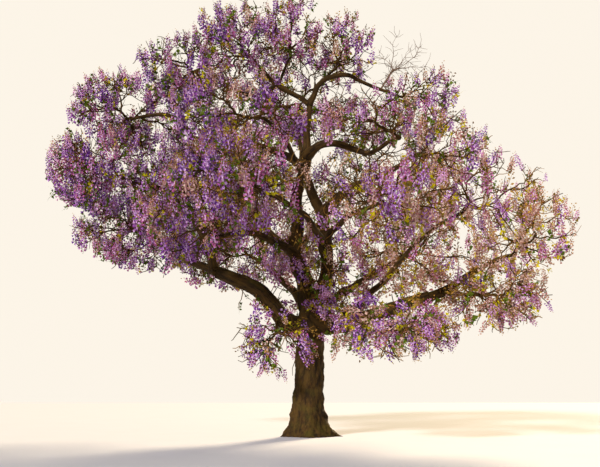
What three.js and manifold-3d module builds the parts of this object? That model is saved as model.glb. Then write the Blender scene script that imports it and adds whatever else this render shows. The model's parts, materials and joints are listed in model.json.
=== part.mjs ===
// A full-grown paulownia tree in flower, rooted in the ground.
// Millimetres, +Z up. The origin is the middle of the flat cut under the trunk, at ground level,
// and the side that shows in the picture faces -Y.
// The trunk and each bough are tapering limbs. Each cloud of blossom is one fused solid: a stem,
// twigs that branch from it, and spindles that each stand for a spray of flower clusters.
import * as THREE from "three";
import { mergeVertices } from "three/addons/utils/BufferGeometryUtils.js";
import Module from "manifold-3d";

const wasm = await Module();
wasm.setup();

const METRE = 1000;
const GAP = 0.3;
const EAST = new THREE.Vector3(1, 0, 0);
const NORTH = new THREE.Vector3(0, 1, 0);
const UP = new THREE.Vector3(0, 0, 1);

// The trunk is a stout column that flares into root buttresses at the ground.
const TRUNK = {
  height: 4.1 * METRE,
  lean: 0.2 * METRE,
  column: 0.48 * METRE,
  crotch: 0.43 * METRE,
  flare: 0.38 * METRE,
  flareHeight: 0.45 * METRE,
  buttresses: 5,
  buttress: 0.1 * METRE,
  spreadRight: 0.12 * METRE,
  sides: 16,
  rings: 9,
  ringsToFoot: 1.4,
  domeRing: 0.45,
  domeTop: 0.65,
};

// What all the limbs share. A collar swells a root that springs from a limb's side, and both it
// and the root's sunk end are measured in root radii. A dome closes the tip, in tip radii, and
// a limb's facets turn no more and run no longer than the last two values.
const LIMB = {
  collar: 0.35,
  collarLength: 1.5,
  sunk: 0.2,
  domeRing: 0.6,
  domeRingWidth: 0.75,
  domeTop: 0.9,
  bluntTop: 0.1,
  facetBend: THREE.MathUtils.degToRad(22),
  facetLength: 1.7 * METRE,
};

// What all the clouds of blossom share: the stem, the twigs that branch from it, and the
// sprays at their ends, which are spindles that are widest at their waist.
const CLOUD = {
  heart: 0.6,
  stemEnd: 0.035 * METRE,
  stemTaper: 0.85,
  stemSunk: 0.6,
  twig: 0.026 * METRE,
  twigEnd: 0.018 * METRE,
  twigTaper: 0.8,
  twigShare: 0.42,
  lastShare: 0.25,
  lastShort: 0.75,
  neck: 0.12 * METRE,
  neckShare: 0.4,
  sunk: 0.025 * METRE,
  spacing: 0.12 * METRE,
  spacingShare: 0.3,
  forksNearTip: [0.95, 0.83, 0.71],
  spray: 1.25 * METRE,
  sprayWidth: 0.28 * METRE,
  bareWidth: 0.016 * METRE,
  sprayWaist: 0.6,
  sprayArea: 2.95,
  spraysPerTwig: 5,
  fewest: 9,
  skin: 0.97,
  skinDepth: 0.12,
  openRay: 0.5,
  shorter: 0.88,
  tries: 6,
  clear: 0.02 * METRE,
};

// Each limb leaves its parent at a share of the parent's length and runs to a tip that is given
// by its heading in plan (0 is +X, -90 the front), its reach from the tree's axis and its height.
// rise and sway bend its two thirds upwards and sideways, and thick is its radius at both ends.
// Lengths are in metres.
const LIMBS = {
  leader: { from: "trunk", at: 1, heading: 0, reach: 0, height: 9.5,
    rise: [-0.5, -0.5], sway: [0.4, 0.1], thick: [0.28, 0.17] },
  front_stem: { from: "trunk", at: 0.97, heading: -114, reach: 1, height: 9,
    rise: [-0.2, -0.1], sway: [-1.4, -1], thick: [0.22, 0.14] },
  top_stem: { from: "leader", at: 1, heading: 0, reach: 0.1, height: 11.3,
    rise: [-0.1, 0], sway: [-0.1, -0.2], thick: [0.14, 0.1] },
  right_arch: { from: "leader", at: 0.97, heading: -19, reach: 2.1, height: 9.3,
    rise: [0.8, 0.2], sway: [0.2, 0.1], thick: [0.15, 0.09] },
  right_upper: { from: "right_arch", at: 1, heading: -21, reach: 3.3, height: 9.7,
    rise: [-0.2, 0.2], sway: [-0.1, 0], thick: [0.08, 0.06] },
  upper_left: { from: "front_stem", at: 1, heading: -160, reach: 4, height: 9.6,
    rise: [0.5, 0.1], sway: [0, -0.1], thick: [0.13, 0.09] },
  left_shoulder: { from: "upper_left", at: 1, heading: 178, reach: 6.4, height: 10.7,
    rise: [1, 0.5], sway: [0.1, -0.1], thick: [0.08, 0.05] },
  left_arch: { from: "leader", at: 0.33, heading: -139, reach: 3.6, height: 6.1,
    rise: [0.3, 0.6], sway: [-0.2, 0], thick: [0.15, 0.08] },
  low_left: { from: "trunk", at: 0.78, heading: -165, reach: 3.1, height: 5.3,
    rise: [0, 0.4], sway: [-0.2, -0.1], thick: [0.3, 0.2] },
  left_rising: { from: "low_left", at: 1, heading: 180, reach: 5.7, height: 8.4,
    rise: [0.6, 1.2], sway: [-0.2, 0.3], thick: [0.15, 0.07] },
  left_reaching: { from: "low_left", at: 0.97, heading: 161, reach: 5.8, height: 6.7,
    rise: [-0.1, 0.1], sway: [-0.1, -0.1], thick: [0.14, 0.07] },
  crown_left_fork: { from: "top_stem", at: 1, heading: -164, reach: 1.1, height: 11.9,
    rise: [0.1, 0.1], sway: [0, 0], thick: [0.09, 0.085] },
  crown_far_left: { from: "crown_left_fork", at: 0.97, heading: -161, reach: 3.6, height: 12.1,
    rise: [-1, -0.5], sway: [0, -0.1], thick: [0.07, 0.045] },
  crown_left: { from: "crown_left_fork", at: 1, heading: -174, reach: 1.8, height: 12.8,
    rise: [0, 0], sway: [-0.1, 0], thick: [0.065, 0.045] },
  crown_top: { from: "crown_left_fork", at: 0.9, heading: 133, reach: 0.8, height: 13.3,
    rise: [0, 0], sway: [-0.1, -0.1], thick: [0.06, 0.04] },
  crown_right_fork: { from: "top_stem", at: 0.97, heading: 11, reach: 1.6, height: 12.5,
    rise: [0.4, 0.6], sway: [0.1, -0.1], thick: [0.1, 0.08] },
  crown_right: { from: "crown_right_fork", at: 0.45, heading: 36, reach: 1.3, height: 12.9,
    rise: [0, 0], sway: [-0.1, -0.1], thick: [0.06, 0.04] },
  right_shoulder: { from: "crown_right_fork", at: 1, heading: 8, reach: 3, height: 11.9,
    rise: [0, 0], sway: [-0.1, -0.1], thick: [0.075, 0.055] },
  right_mid: { from: "front_stem", at: 0.62, heading: -22, reach: 3.8, height: 9,
    rise: [0.5, -0.2], sway: [0.5, 0], thick: [0.13, 0.07] },
  low_right: { from: "trunk", at: 0.95, heading: -24, reach: 4.2, height: 4.3,
    rise: [-0.6, -0.2], sway: [-0.1, 0.1], thick: [0.3, 0.18] },
  right_reaching: { from: "low_right", at: 1, heading: -12, reach: 6.7, height: 5.7,
    rise: [0, 0.2], sway: [0.4, 0.2], thick: [0.13, 0.06] },
  right_drooping: { from: "low_right", at: 0.97, heading: -30, reach: 5.4, height: 4.3,
    rise: [0, 0.2], sway: [-0.1, 0], thick: [0.09, 0.05] },
  right_inner: { from: "low_right", at: 0.22, heading: 24, reach: 6.3, height: 7.9,
    rise: [-0.4, 0.6], sway: [0.1, -0.4], thick: [0.13, 0.06] },
  back_left: { from: "leader", at: 0.25, heading: 116, reach: 5.6, height: 8.9,
    rise: [0, 0], sway: [0.1, 0.2], thick: [0.15, 0.07] },
  back_left_low: { from: "trunk", at: 0.9, heading: 113, reach: 4.4, height: 6.3,
    rise: [0.2, 0.2], sway: [0.2, 0.2], thick: [0.18, 0.08] },
  back_right: { from: "leader", at: 0.4, heading: 68, reach: 4.8, height: 9.3,
    rise: [-0.2, -0.2], sway: [-0.2, -0.2], thick: [0.14, 0.07] },
  back_right_low: { from: "trunk", at: 0.92, heading: 52, reach: 5.2, height: 6.2,
    rise: [0.1, 0.1], sway: [-0.2, -0.2], thick: [0.18, 0.08] },
  back_high: { from: "leader", at: 0.85, heading: 96, reach: 3.5, height: 12.1,
    rise: [0, 0], sway: [0.1, 0.1], thick: [0.1, 0.05] },
  front_left: { from: "front_stem", at: 0.35, heading: -105, reach: 4.4, height: 7,
    rise: [0.2, 0.3], sway: [-0.4, -0.5], thick: [0.13, 0.06] },
  front_right: { from: "front_stem", at: 0.45, heading: -65, reach: 4.8, height: 6.7,
    rise: [0.2, 0.2], sway: [0.2, 0.2], thick: [0.12, 0.06] },
  front_low: { from: "low_right", at: 0.45, heading: -50, reach: 3.2, height: 3.2,
    rise: [0, -0.1], sway: [0.1, 0.1], thick: [0.1, 0.05] },
  front_top: { from: "front_stem", at: 0.92, heading: -113, reach: 3.3, height: 9.7,
    rise: [0.2, 0.2], sway: [-0.1, -0.1], thick: [0.09, 0.05] },
  low_shoot: { from: "trunk", at: 0.62, heading: -128, reach: 1.4, height: 3.6,
    rise: [0.25, 0.35], sway: [0, -0.1], thick: [0.09, 0.05] },
};

// Each cloud of blossom sits on the tip of the limb it is named for, or on the side of another.
// Its space is a flattened ball about its middle, cut where it meets its neighbours' spaces.
// The bare one is a dead branch that has kept its twigs. Lengths are in metres.
const CLOUDS = {
  right_upper: { heading: -30, reach: 2.6, height: 10.2, wide: 2.4, deep: 2.4, tall: 1.1 },
  left_shoulder: { heading: 176, reach: 6.3, height: 11.1, wide: 2.2, deep: 2.7, tall: 1.6 },
  left_arch: { heading: -140, reach: 4.3, height: 6.8, wide: 2.2, deep: 2.8, tall: 1.7 },
  left_rising: { heading: -178, reach: 6.7, height: 8.8, wide: 2.3, deep: 2.7, tall: 1.8 },
  left_reaching: { heading: 155, reach: 6.6, height: 7.3, wide: 2.9, deep: 2.8, tall: 1.7 },
  crown_far_left: { heading: -166, reach: 4.3, height: 12, wide: 1.8, deep: 2.3, tall: 1.3 },
  crown_left: { heading: -174, reach: 2.4, height: 13.3, wide: 1.9, deep: 2.6, tall: 1.6 },
  crown_top: { heading: 144, reach: 0.7, height: 13.9, wide: 1.8, deep: 2.4, tall: 1.5 },
  crown_right: { heading: 29, reach: 1.45, height: 13.5, wide: 1.6, deep: 2.4, tall: 1.4 },
  right_shoulder: { heading: 15, reach: 4, height: 11.8, wide: 1.9, deep: 2.6, tall: 1.5 },
  right_mid: { heading: -20, reach: 4.5, height: 9.1, wide: 2, deep: 2.7, tall: 1.3 },
  right_inner: { heading: 21, reach: 7, height: 8.7, wide: 2.7, deep: 2.9, tall: 1.75 },
  right_reaching: { heading: -8, reach: 7.2, height: 6.6, wide: 1.8, deep: 2.7, tall: 1.5 },
  right_drooping: { heading: -31, reach: 6.5, height: 4.2, wide: 1.7, deep: 2.4, tall: 1.2 },
  back_left: { heading: 121, reach: 5.7, height: 10.5, wide: 3.3, deep: 3.2, tall: 2.6 },
  back_left_low: { heading: 121, reach: 5.5, height: 7.1, wide: 3.1, deep: 2.8, tall: 1.9 },
  back_right: { heading: 57, reach: 5.5, height: 10, wide: 3.2, deep: 3.1, tall: 2.4 },
  back_right_low: { heading: 46, reach: 6.3, height: 7, wide: 2.9, deep: 2.8, tall: 1.9 },
  back_high: { heading: 92, reach: 3.5, height: 12.7, wide: 3.2, deep: 2.8, tall: 2.2 },
  front_left: { heading: -111, reach: 5, height: 7.3, wide: 2.1, deep: 2.7, tall: 1.6 },
  front_right: { heading: -63, reach: 5.2, height: 6.6, wide: 2.1, deep: 2.7, tall: 1.4 },
  front_low: { heading: -54, reach: 4.4, height: 3.2, wide: 2, deep: 2.3, tall: 1.1 },
  front_top: { heading: -122, reach: 3.9, height: 9.7, wide: 2.3, deep: 2.6, tall: 1.4 },
  low_shoot: { heading: -124, reach: 1.7, height: 2.95, wide: 1.5, deep: 0.95, tall: 1.25 },
  inner_hanging: { heading: -67, reach: 1.6, height: 4.9, wide: 0.95, deep: 0.9, tall: 1.7,
    on: "front_stem", at: 0.22 },
  dead_twigs: { heading: 8, reach: 3.5, height: 13.3, wide: 1.1, deep: 0.9, tall: 0.8,
    on: "right_shoulder", at: 0.8, bare: true },
};

const BARK = new THREE.MeshStandardMaterial({ color: "#4a3a24", roughness: 0.95, metalness: 0 });
const BLOSSOM = new THREE.MeshStandardMaterial({ color: "#a68bc0", roughness: 0.8, metalness: 0 });

// A point given by heading, reach and height.
function place({ heading, reach, height }) {
  const angle = THREE.MathUtils.degToRad(heading);
  return new THREE.Vector3(reach * Math.cos(angle), reach * Math.sin(angle), height)
    .multiplyScalar(METRE);
}

// A curve from start to tip whose two inner points lie at its thirds, lifted and swayed.
function bentCurve(start, tip, rise, sway) {
  const along = tip.clone().sub(start);
  const side = along.clone().cross(UP).normalize();
  const lift = side.clone().cross(along).normalize();
  const third = (i) => start.clone()
    .addScaledVector(along, (i + 1) / 3)
    .addScaledVector(lift, rise[i] * METRE)
    .addScaledVector(side, sway[i] * METRE);
  return new THREE.CubicBezierCurve3(start, third(0), third(1), tip);
}

// The closed body that runs through a list of rings, each a centre, two axes across the limb,
// and the radius at a turn of angle. Its root is flat and its tip is closed by one point.
function loft(rings, sides, tip, foot = rings[0].centre) {
  const points = [];
  const faces = [];
  for (const { centre, across, over, radius } of rings) {
    for (let j = 0; j < sides; j += 1) {
      const angle = 2 * Math.PI * j / sides;
      points.push(centre.clone()
        .addScaledVector(across, Math.cos(angle) * radius(angle))
        .addScaledVector(over, Math.sin(angle) * radius(angle)));
    }
  }
  for (let i = 0; i < rings.length - 1; i += 1) {
    for (let j = 0; j < sides; j += 1) {
      const next = (j + 1) % sides;
      const [a, b] = [i * sides + j, i * sides + next];
      faces.push(a, b, b + sides, a, b + sides, a + sides);
    }
  }
  const last = (rings.length - 1) * sides;
  const [footAt, tipAt] = [points.length, points.length + 1];
  points.push(foot, tip);
  for (let j = 0; j < sides; j += 1) {
    const next = (j + 1) % sides;
    faces.push(footAt, next, j, tipAt, last + j, last + next);
  }
  const geometry = new THREE.BufferGeometry().setFromPoints(points);
  geometry.setIndex(faces);
  return geometry;
}

// A level line across a direction, or east across an upright one.
const UPRIGHT = 0.9;
function levelAcross(direction) {
  return Math.abs(direction.z) > UPRIGHT ? EAST : direction.clone().cross(UP);
}

// Two axes across a direction, turned on from the last ones so that a tube doesn't twist.
function axesAcross(direction, lastAcross) {
  const over = direction.clone().cross(lastAcross).normalize();
  return { across: over.clone().cross(direction).normalize(), over };
}

// A round tube along a curve. Its root is sunk a little behind the curve's start, its tip is a
// blunt dome or nearly flat, and swell makes it thicker all over.
function tube(curve, radiusAt, { sides, steps, sink, dome = true, swell = 0 }) {
  const rings = [];
  let direction = curve.getTangent(0);
  let across = levelAcross(direction);
  const addRing = (centre, heading, size) => {
    const axes = axesAcross(heading, across);
    across = axes.across;
    rings.push({ centre, ...axes, radius: () => size + swell });
  };
  addRing(curve.getPoint(0).addScaledVector(direction, -sink), direction, radiusAt(0));
  for (let i = 0; i <= steps; i += 1) {
    direction = curve.getTangent(i / steps);
    addRing(curve.getPoint(i / steps), direction, radiusAt(i / steps));
  }
  const thick = radiusAt(1);
  const beyond = (way) => curve.getPoint(1).addScaledVector(direction, way);
  if (dome) {
    addRing(beyond(LIMB.domeRing * thick), direction, LIMB.domeRingWidth * thick);
  }
  return loft(rings, sides, beyond((dome ? LIMB.domeTop : LIMB.bluntTop) * thick + swell));
}

// Points nearer than the first value are one point, and edges shorter than the second are
// closed up after a cut.
const SAME_POINT = 1e-4;
const SLIVER = 0.05;

// A three.js geometry as a solid that can be joined and cut, and back again.
function toSolid(geometry) {
  const bare = geometry.clone();
  bare.deleteAttribute("normal");
  bare.deleteAttribute("uv");
  const merged = mergeVertices(bare, SAME_POINT);
  return new wasm.Manifold(new wasm.Mesh({
    numProp: 3,
    vertProperties: new Float32Array(merged.getAttribute("position").array),
    triVerts: new Uint32Array(merged.getIndex().array),
  }));
}

function toGeometry(solid) {
  const mesh = solid.getMesh();
  const geometry = new THREE.BufferGeometry();
  geometry.setAttribute("position", new THREE.BufferAttribute(mesh.vertProperties, 3));
  geometry.setIndex(new THREE.BufferAttribute(mesh.triVerts, 1));
  return geometry;
}

// The largest of the loose pieces that a cut leaves.
function largest(solid) {
  return solid.decompose().sort((a, b) => b.volume() - a.volume())[0];
}

// The trunk's radius at a height and at a turn of angle round its axis.
function trunkRadius(height, angle, swell) {
  const flare = Math.exp(-height / TRUNK.flareHeight);
  const column = THREE.MathUtils.lerp(TRUNK.column, TRUNK.crotch, height / TRUNK.height);
  const buttress = TRUNK.buttress * Math.cos(TRUNK.buttresses * angle + 0.7);
  const spread = TRUNK.spreadRight * Math.cos(angle);
  return column + flare * (TRUNK.flare + buttress + spread) + swell;
}

const trunkCurve = new THREE.LineCurve3(
  new THREE.Vector3(0, 0, 0), new THREE.Vector3(TRUNK.lean, 0, TRUNK.height));

function trunkGeometry(swell) {
  const rings = [];
  for (let i = 0; i <= TRUNK.rings; i += 1) {
    const share = (i / TRUNK.rings) ** TRUNK.ringsToFoot;
    const centre = trunkCurve.getPoint(share);
    rings.push({
      centre,
      across: EAST,
      over: NORTH,
      radius: (angle) => trunkRadius(centre.z, angle, swell),
    });
  }
  const top = trunkCurve.getPoint(1);
  rings.push({
    ...rings[rings.length - 1],
    centre: top.clone().addScaledVector(UP, TRUNK.domeRing * TRUNK.crotch + swell),
    radius: () => LIMB.domeRingWidth * TRUNK.crotch + swell,
  });
  return loft(rings, TRUNK.sides, top.addScaledVector(UP, TRUNK.domeTop * TRUNK.crotch + swell));
}

// Every limb's curve and radius, worked out from the table.
const limbs = { trunk: { curve: trunkCurve, radiusAt: () => TRUNK.crotch } };
for (const [name, limb] of Object.entries(LIMBS)) {
  const parent = limbs[limb.from];
  const start = parent.curve.getPoint(limb.at);
  const curve = bentCurve(start, place(limb), limb.rise, limb.sway);
  const length = curve.getLength();
  const [root, tip] = limb.thick.map((thick) => thick * METRE);
  const sunk = limb.at < 1 ? parent.radiusAt(limb.at) : 0;
  const radiusAt = (share) => {
    const clear = Math.max(0, share * length - sunk);
    const collar = LIMB.collar * root * Math.exp(-clear / (LIMB.collarLength * root));
    return THREE.MathUtils.lerp(root, tip, share) + (limb.at < 1 ? collar : 0);
  };
  limbs[name] = { curve, radiusAt, length, root };
}

// The sides of a limb whose root is thicker than the radius beside them.
const LIMB_SIDES = [[0.2 * METRE, 9], [0.1 * METRE, 7], [0, 5]];

function limbGeometry({ curve, radiusAt, length, root }, swell) {
  const [, sides] = LIMB_SIDES.find(([thicker]) => root > thicker);
  const turns = [0, 0.25, 0.5, 0.75, 1].map((share) => curve.getTangent(share));
  const bend = turns.slice(1).reduce((sum, turn, i) => sum + turn.angleTo(turns[i]), 0);
  const steps = Math.max(
    2, Math.round(bend / LIMB.facetBend), Math.round(length / LIMB.facetLength));
  return tube(curve, radiusAt, { sides, steps, sink: LIMB.sunk * root, swell });
}

// Cut a solid clear of those that are already in place.
function cutClear(solid, others) {
  let rest = solid;
  for (const other of others) {
    if (rest.minGap(other, 1) < 0.5 * GAP) {
      rest = rest.subtract(other);
    }
  }
  return largest(rest).simplify(SLIVER);
}

const tree = new THREE.Group();
tree.name = "paulownia_tree";

function addNode(name, solid, material) {
  const mesh = new THREE.Mesh(toGeometry(solid), material);
  mesh.name = name;
  tree.add(mesh);
}

// Each limb is cut clear of the limbs before it, which are swollen here by the gap they keep.
const swollenLimbs = [];
for (const [name, limb] of Object.entries(limbs)) {
  const geometry = (swell) => (
    name === "trunk" ? trunkGeometry(swell) : limbGeometry(limb, swell));
  const solid = cutClear(toSolid(geometry(0)), swollenLimbs);
  addNode(name === "trunk" ? "trunk" : `bough_${name}`, solid, BARK);
  swollenLimbs.push(toSolid(geometry(GAP)));
}

// A plain generator of even numbers from 0 to 1.
function seeded(seed) {
  let state = seed;
  return () => {
    state = (Math.imul(state, 1664525) + 1013904223) >>> 0;
    return state / 4294967296;
  };
}

const spaces = Object.entries(CLOUDS).map(([name, cloud]) => ({
  name,
  on: cloud.on ?? name,
  at: cloud.at ?? 1,
  bare: cloud.bare,
  width: cloud.bare ? CLOUD.bareWidth : CLOUD.sprayWidth,
  middle: place(cloud),
  size: new THREE.Vector3(cloud.wide, cloud.deep, cloud.tall).multiplyScalar(METRE),
}));

// How far a space reaches from its middle in a direction.
function reachAlong({ size }, direction) {
  return 1 / direction.clone().divide(size).length();
}

// The flat faces that part a space from its neighbours.
for (const space of spaces) {
  space.faces = spaces.filter((other) => other !== space).map((other) => {
    const normal = other.middle.clone().sub(space.middle);
    const distance = normal.length();
    normal.normalize();
    const [own, theirs] = [reachAlong(space, normal), reachAlong(other, normal)];
    return { normal, offset: distance * own / (own + theirs) };
  });
}

// The share of the way from a space's middle to its skin that a ray can go before it meets a
// flat face.
function openShare(space, ray) {
  let share = 1;
  for (const { normal, offset } of space.faces) {
    const climb = ray.dot(normal);
    if (climb * share > offset) {
      share = offset / climb;
    }
  }
  return share;
}

function inside(space, point) {
  const local = point.clone().sub(space.middle);
  return local.clone().divide(space.size).length() < 1
    && space.faces.every(({ normal, offset }) => local.dot(normal) < offset - CLOUD.clear / 2);
}

// Balls along every limb and stem, which twigs and sprays keep clear of.
const BALL_STEP = 0.1 * METRE;
const TEST_STEP = 0.08 * METRE;
const balls = [];
function addBalls(owner, curve, radiusAt, length) {
  const count = Math.ceil(length / BALL_STEP);
  for (let i = 0; i <= count; i += 1) {
    balls.push({ owner, centre: curve.getPoint(i / count), radius: radiusAt(i / count) });
  }
}
addBalls("trunk", trunkCurve, () => TRUNK.column, TRUNK.height);
for (const name of Object.keys(LIMBS)) {
  addBalls(name, limbs[name].curve, limbs[name].radiusAt, limbs[name].length);
}

// Whether a stretch of twig or spray comes too near any limb or stem but its own.
function touches(a, b, radiusAt, own) {
  const steps = Math.ceil(a.distanceTo(b) / TEST_STEP);
  for (let i = 0; i <= steps; i += 1) {
    const point = a.clone().lerp(b, i / steps);
    const reach = radiusAt(i / steps) + CLOUD.clear;
    if (balls.some(({ owner, centre, radius }) => owner !== own
        && Math.abs(centre.x - point.x) < reach + radius
        && centre.distanceTo(point) < reach + radius)) {
      return true;
    }
  }
  return false;
}

// Split points in three by nearness: to three that lie far apart, then to each group's middle.
const GROUPING_ROUNDS = 4;
function threeGroups(points) {
  const seeds = [points[0]];
  while (seeds.length < 3) {
    const lonely = (p) => Math.min(...seeds.map((s) => s.distanceTo(p)));
    seeds.push(points.reduce((best, p) => (lonely(p) > lonely(best) ? p : best)));
  }
  let groups = [];
  for (let round = 0; round < GROUPING_ROUNDS; round += 1) {
    const centres = round === 0 ? seeds : groups.map(centroid);
    groups = centres.map(() => []);
    for (const p of points) {
      const near = centres.map((c) => c.distanceTo(p));
      groups[near.indexOf(Math.min(...near))].push(p);
    }
    groups = groups.filter((group) => group.length > 0);
  }
  return groups;
}

function centroid(points) {
  return points.reduce((sum, p) => sum.add(p), new THREE.Vector3()).divideScalar(points.length);
}

// The skin of a flattened ball in square metres, by a power mean that is right to a hundredth.
const SKIN_POWER = 1.6;
function skinArea(size) {
  const { x, y, z } = size.clone().divideScalar(METRE);
  const sum = (x * y) ** SKIN_POWER + (x * z) ** SKIN_POWER + (y * z) ** SKIN_POWER;
  return 4 * Math.PI * (sum / 3) ** (1 / SKIN_POWER);
}

// The tips that a cloud's sprays reach: even over its skin, and none where a flat face cuts
// their ray too short. They wind round the cloud by the golden angle from its top to its foot.
const GOLDEN_ANGLE = Math.PI * (3 - Math.sqrt(5));
function sprayTips(space, seed) {
  const random = seeded(seed);
  const count = Math.max(CLOUD.fewest, Math.round(skinArea(space.size) / CLOUD.sprayArea));
  const spin = random() * 2 * Math.PI;
  const tips = [];
  for (let i = 0; i < count; i += 1) {
    const level = 1 - 2 * (i + 0.2 + 0.6 * random()) / count;
    const turn = i * GOLDEN_ANGLE + spin + 0.5 * random();
    const flat = Math.sqrt(1 - level * level);
    const ray = new THREE.Vector3(flat * Math.cos(turn), flat * Math.sin(turn), level)
      .multiply(space.size);
    const share = openShare(space, ray);
    if (share > CLOUD.openRay) {
      const depth = CLOUD.skin - CLOUD.skinDepth * random();
      tips.push(space.middle.clone().addScaledVector(ray, share * depth));
    }
  }
  return tips;
}

// A three-sided body through a line of points, closed to a point at both ends.
function spindle(points, radii) {
  const direction = points[points.length - 1].clone().sub(points[0]).normalize();
  const { across, over } = axesAcross(direction, levelAcross(direction));
  const rings = points.slice(1, -1).map((centre, i) => (
    { centre, across, over, radius: () => radii[i + 1] }));
  return loft(rings, 3, points[points.length - 1], points[0]);
}

// How thick a spray is at a share of its length: a spindle that is widest past its middle.
function sprayRadius(width, share) {
  const waist = CLOUD.sprayWaist;
  return width * (share < waist ? share / waist : (1 - share) / (1 - waist));
}

// Whether a spray keeps to its space and clear of every limb.
function sprayFits(space, root, tip) {
  const waist = root.clone().lerp(tip, CLOUD.sprayWaist);
  const wide = [EAST, NORTH, UP].flatMap((axis) => [1, -1].map((way) => (
    waist.clone().addScaledVector(axis, way * space.width))));
  return [...wide, tip].every((point) => inside(space, point))
    && !touches(root, tip, (share) => sprayRadius(space.width, share), `stem_${space.name}`);
}

// Grow a twig on from the last of its points towards a set of spray tips. It runs on as its
// straightest branch or spray, and the others spring from its side as twigs of their own.
function grow(space, twig, tips, pieces) {
  const from = twig.points[twig.points.length - 1];
  const thick = twig.radii[twig.radii.length - 1] || twig.thick;
  const away = centroid(tips).sub(from);
  const distance = away.length();
  away.normalize();
  const last = tips.length <= CLOUD.spraysPerTwig;
  const ahead = last
    ? Math.max(CLOUD.lastShare * distance, distance - CLOUD.lastShort * CLOUD.spray)
    : CLOUD.twigShare * distance;
  const fork = from.clone().addScaledVector(away, ahead);
  if (!inside(space, fork) || touches(from, fork, () => thick, `stem_${space.name}`)) {
    finishTwig(twig, away, pieces);
    return;
  }
  const thin = last ? CLOUD.twigEnd : CLOUD.twigTaper * thick;
  if (twig.points.length === 1) {
    const neck = Math.min(CLOUD.neck, CLOUD.neckShare * ahead);
    twig.points.push(from.clone().addScaledVector(away, neck));
    twig.radii.push(thick);
  }
  twig.points.push(fork);
  twig.radii.push(thin);
  const straightness = (point) => point.clone().sub(fork).normalize().dot(away);
  const apart = Math.min(CLOUD.spacingShare, CLOUD.spacing / ahead);
  const spring = (k) => fork.clone().lerp(from, k * apart);
  if (last) {
    const ends = [...tips].sort((a, b) => straightness(b) - straightness(a));
    bearSprays(space, twig, ends, spring, pieces);
    return;
  }
  const groups = threeGroups(tips)
    .sort((a, b) => straightness(centroid(b)) - straightness(centroid(a)));
  groups.forEach((group, k) => {
    const branch = k === 0 ? twig : { points: [spring(k)], radii: [0], thick: thin };
    grow(space, branch, group, pieces);
  });
}

// Close a twig that bears nothing at its end.
function finishTwig({ points, radii }, away, pieces) {
  if (points.length > 1) {
    const end = points[points.length - 1].clone().addScaledVector(away, CLOUD.sunk);
    pieces.push(spindle([...points, end], [...radii, 0]));
  }
}

// Set sprays along the end of a twig, the first as its own end.
function bearSprays(space, twig, tips, spring, pieces) {
  let ended = false;
  tips.forEach((tip, k) => {
    const root = spring(k);
    let end = tip;
    for (let i = 0; i < CLOUD.tries && !sprayFits(space, root, end); i += 1) {
      end = root.clone().lerp(end, CLOUD.shorter);
    }
    if (!sprayFits(space, root, end)) {
      return;
    }
    const waist = root.clone().lerp(end, CLOUD.sprayWaist);
    const spray = { points: [waist, end], radii: [space.width, 0] };
    if (k === 0) {
      pieces.push(spindle([...twig.points, ...spray.points], [...twig.radii, ...spray.radii]));
      ended = true;
    } else {
      pieces.push(spindle([root, ...spray.points], [0, ...spray.radii]));
    }
  });
  if (!ended) {
    finishTwig(twig, tips[0].clone().sub(spring(0)).normalize(), pieces);
  }
}

// Each cloud's stem carries on from its limb's tip, or springs from its limb's side, and ends
// in the heart of the cloud. The stems come first, so that every cloud keeps clear of them all.
for (const space of spaces) {
  const limb = limbs[space.on];
  const tip = limb.curve.getPoint(space.at);
  const heart = tip.clone().lerp(space.middle, CLOUD.heart);
  const length = tip.distanceTo(heart);
  const onSide = space.at < 1;
  const direction = onSide ? heart.clone().sub(tip).normalize() : limb.curve.getTangent(1);
  const thick = onSide ? CLOUD.stemEnd : CLOUD.stemTaper * limb.radiusAt(1);
  space.curve = new THREE.CubicBezierCurve3(
    tip, tip.clone().addScaledVector(direction, length / 3), heart.clone().lerp(tip, 1 / 3), heart);
  space.radiusAt = (share) => THREE.MathUtils.lerp(thick, CLOUD.stemEnd, share);
  addBalls(`stem_${space.name}`, space.curve, space.radiusAt, length);
}

// Three twigs fork from each stem near its tip, and all that grows from them is fused to it.
const FIRST_SEED = 1000;
spaces.forEach((space, index) => {
  const { name, bare, curve, radiusAt } = space;
  const sink = CLOUD.stemSunk * radiusAt(0);
  const pieces = [tube(curve, radiusAt, { sides: 5, steps: 2, sink, dome: false })];
  threeGroups(sprayTips(space, FIRST_SEED + index)).forEach((group, k) => {
    const root = curve.getPoint(CLOUD.forksNearTip[k]);
    grow(space, { points: [root], radii: [0], thick: CLOUD.twig }, group, pieces);
  });
  const solid = cutClear(wasm.Manifold.union(pieces.map(toSolid)), swollenLimbs);
  addNode(bare ? name : `blossom_${name}`, solid, bare ? BARK : BLOSSOM);
});

export default tree;
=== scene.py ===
# %% [markdown]
# # An old paulownia in flower
# A paulownia flowers in spring, before its leaves open, so the whole crown is a cloud of
# lavender flower clusters on crooked, dark and nearly bare boughs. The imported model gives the
# trunk, the boughs and the room that each cloud of blossom takes up. This lesson dresses it.
# The limbs get furrowed bark, and the clouds are grown again by the rule that made their
# solids, and carried on to finer twigs, flower candles, buds, seed husks and young leaves.

import json
import math
from dataclasses import dataclass

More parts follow.
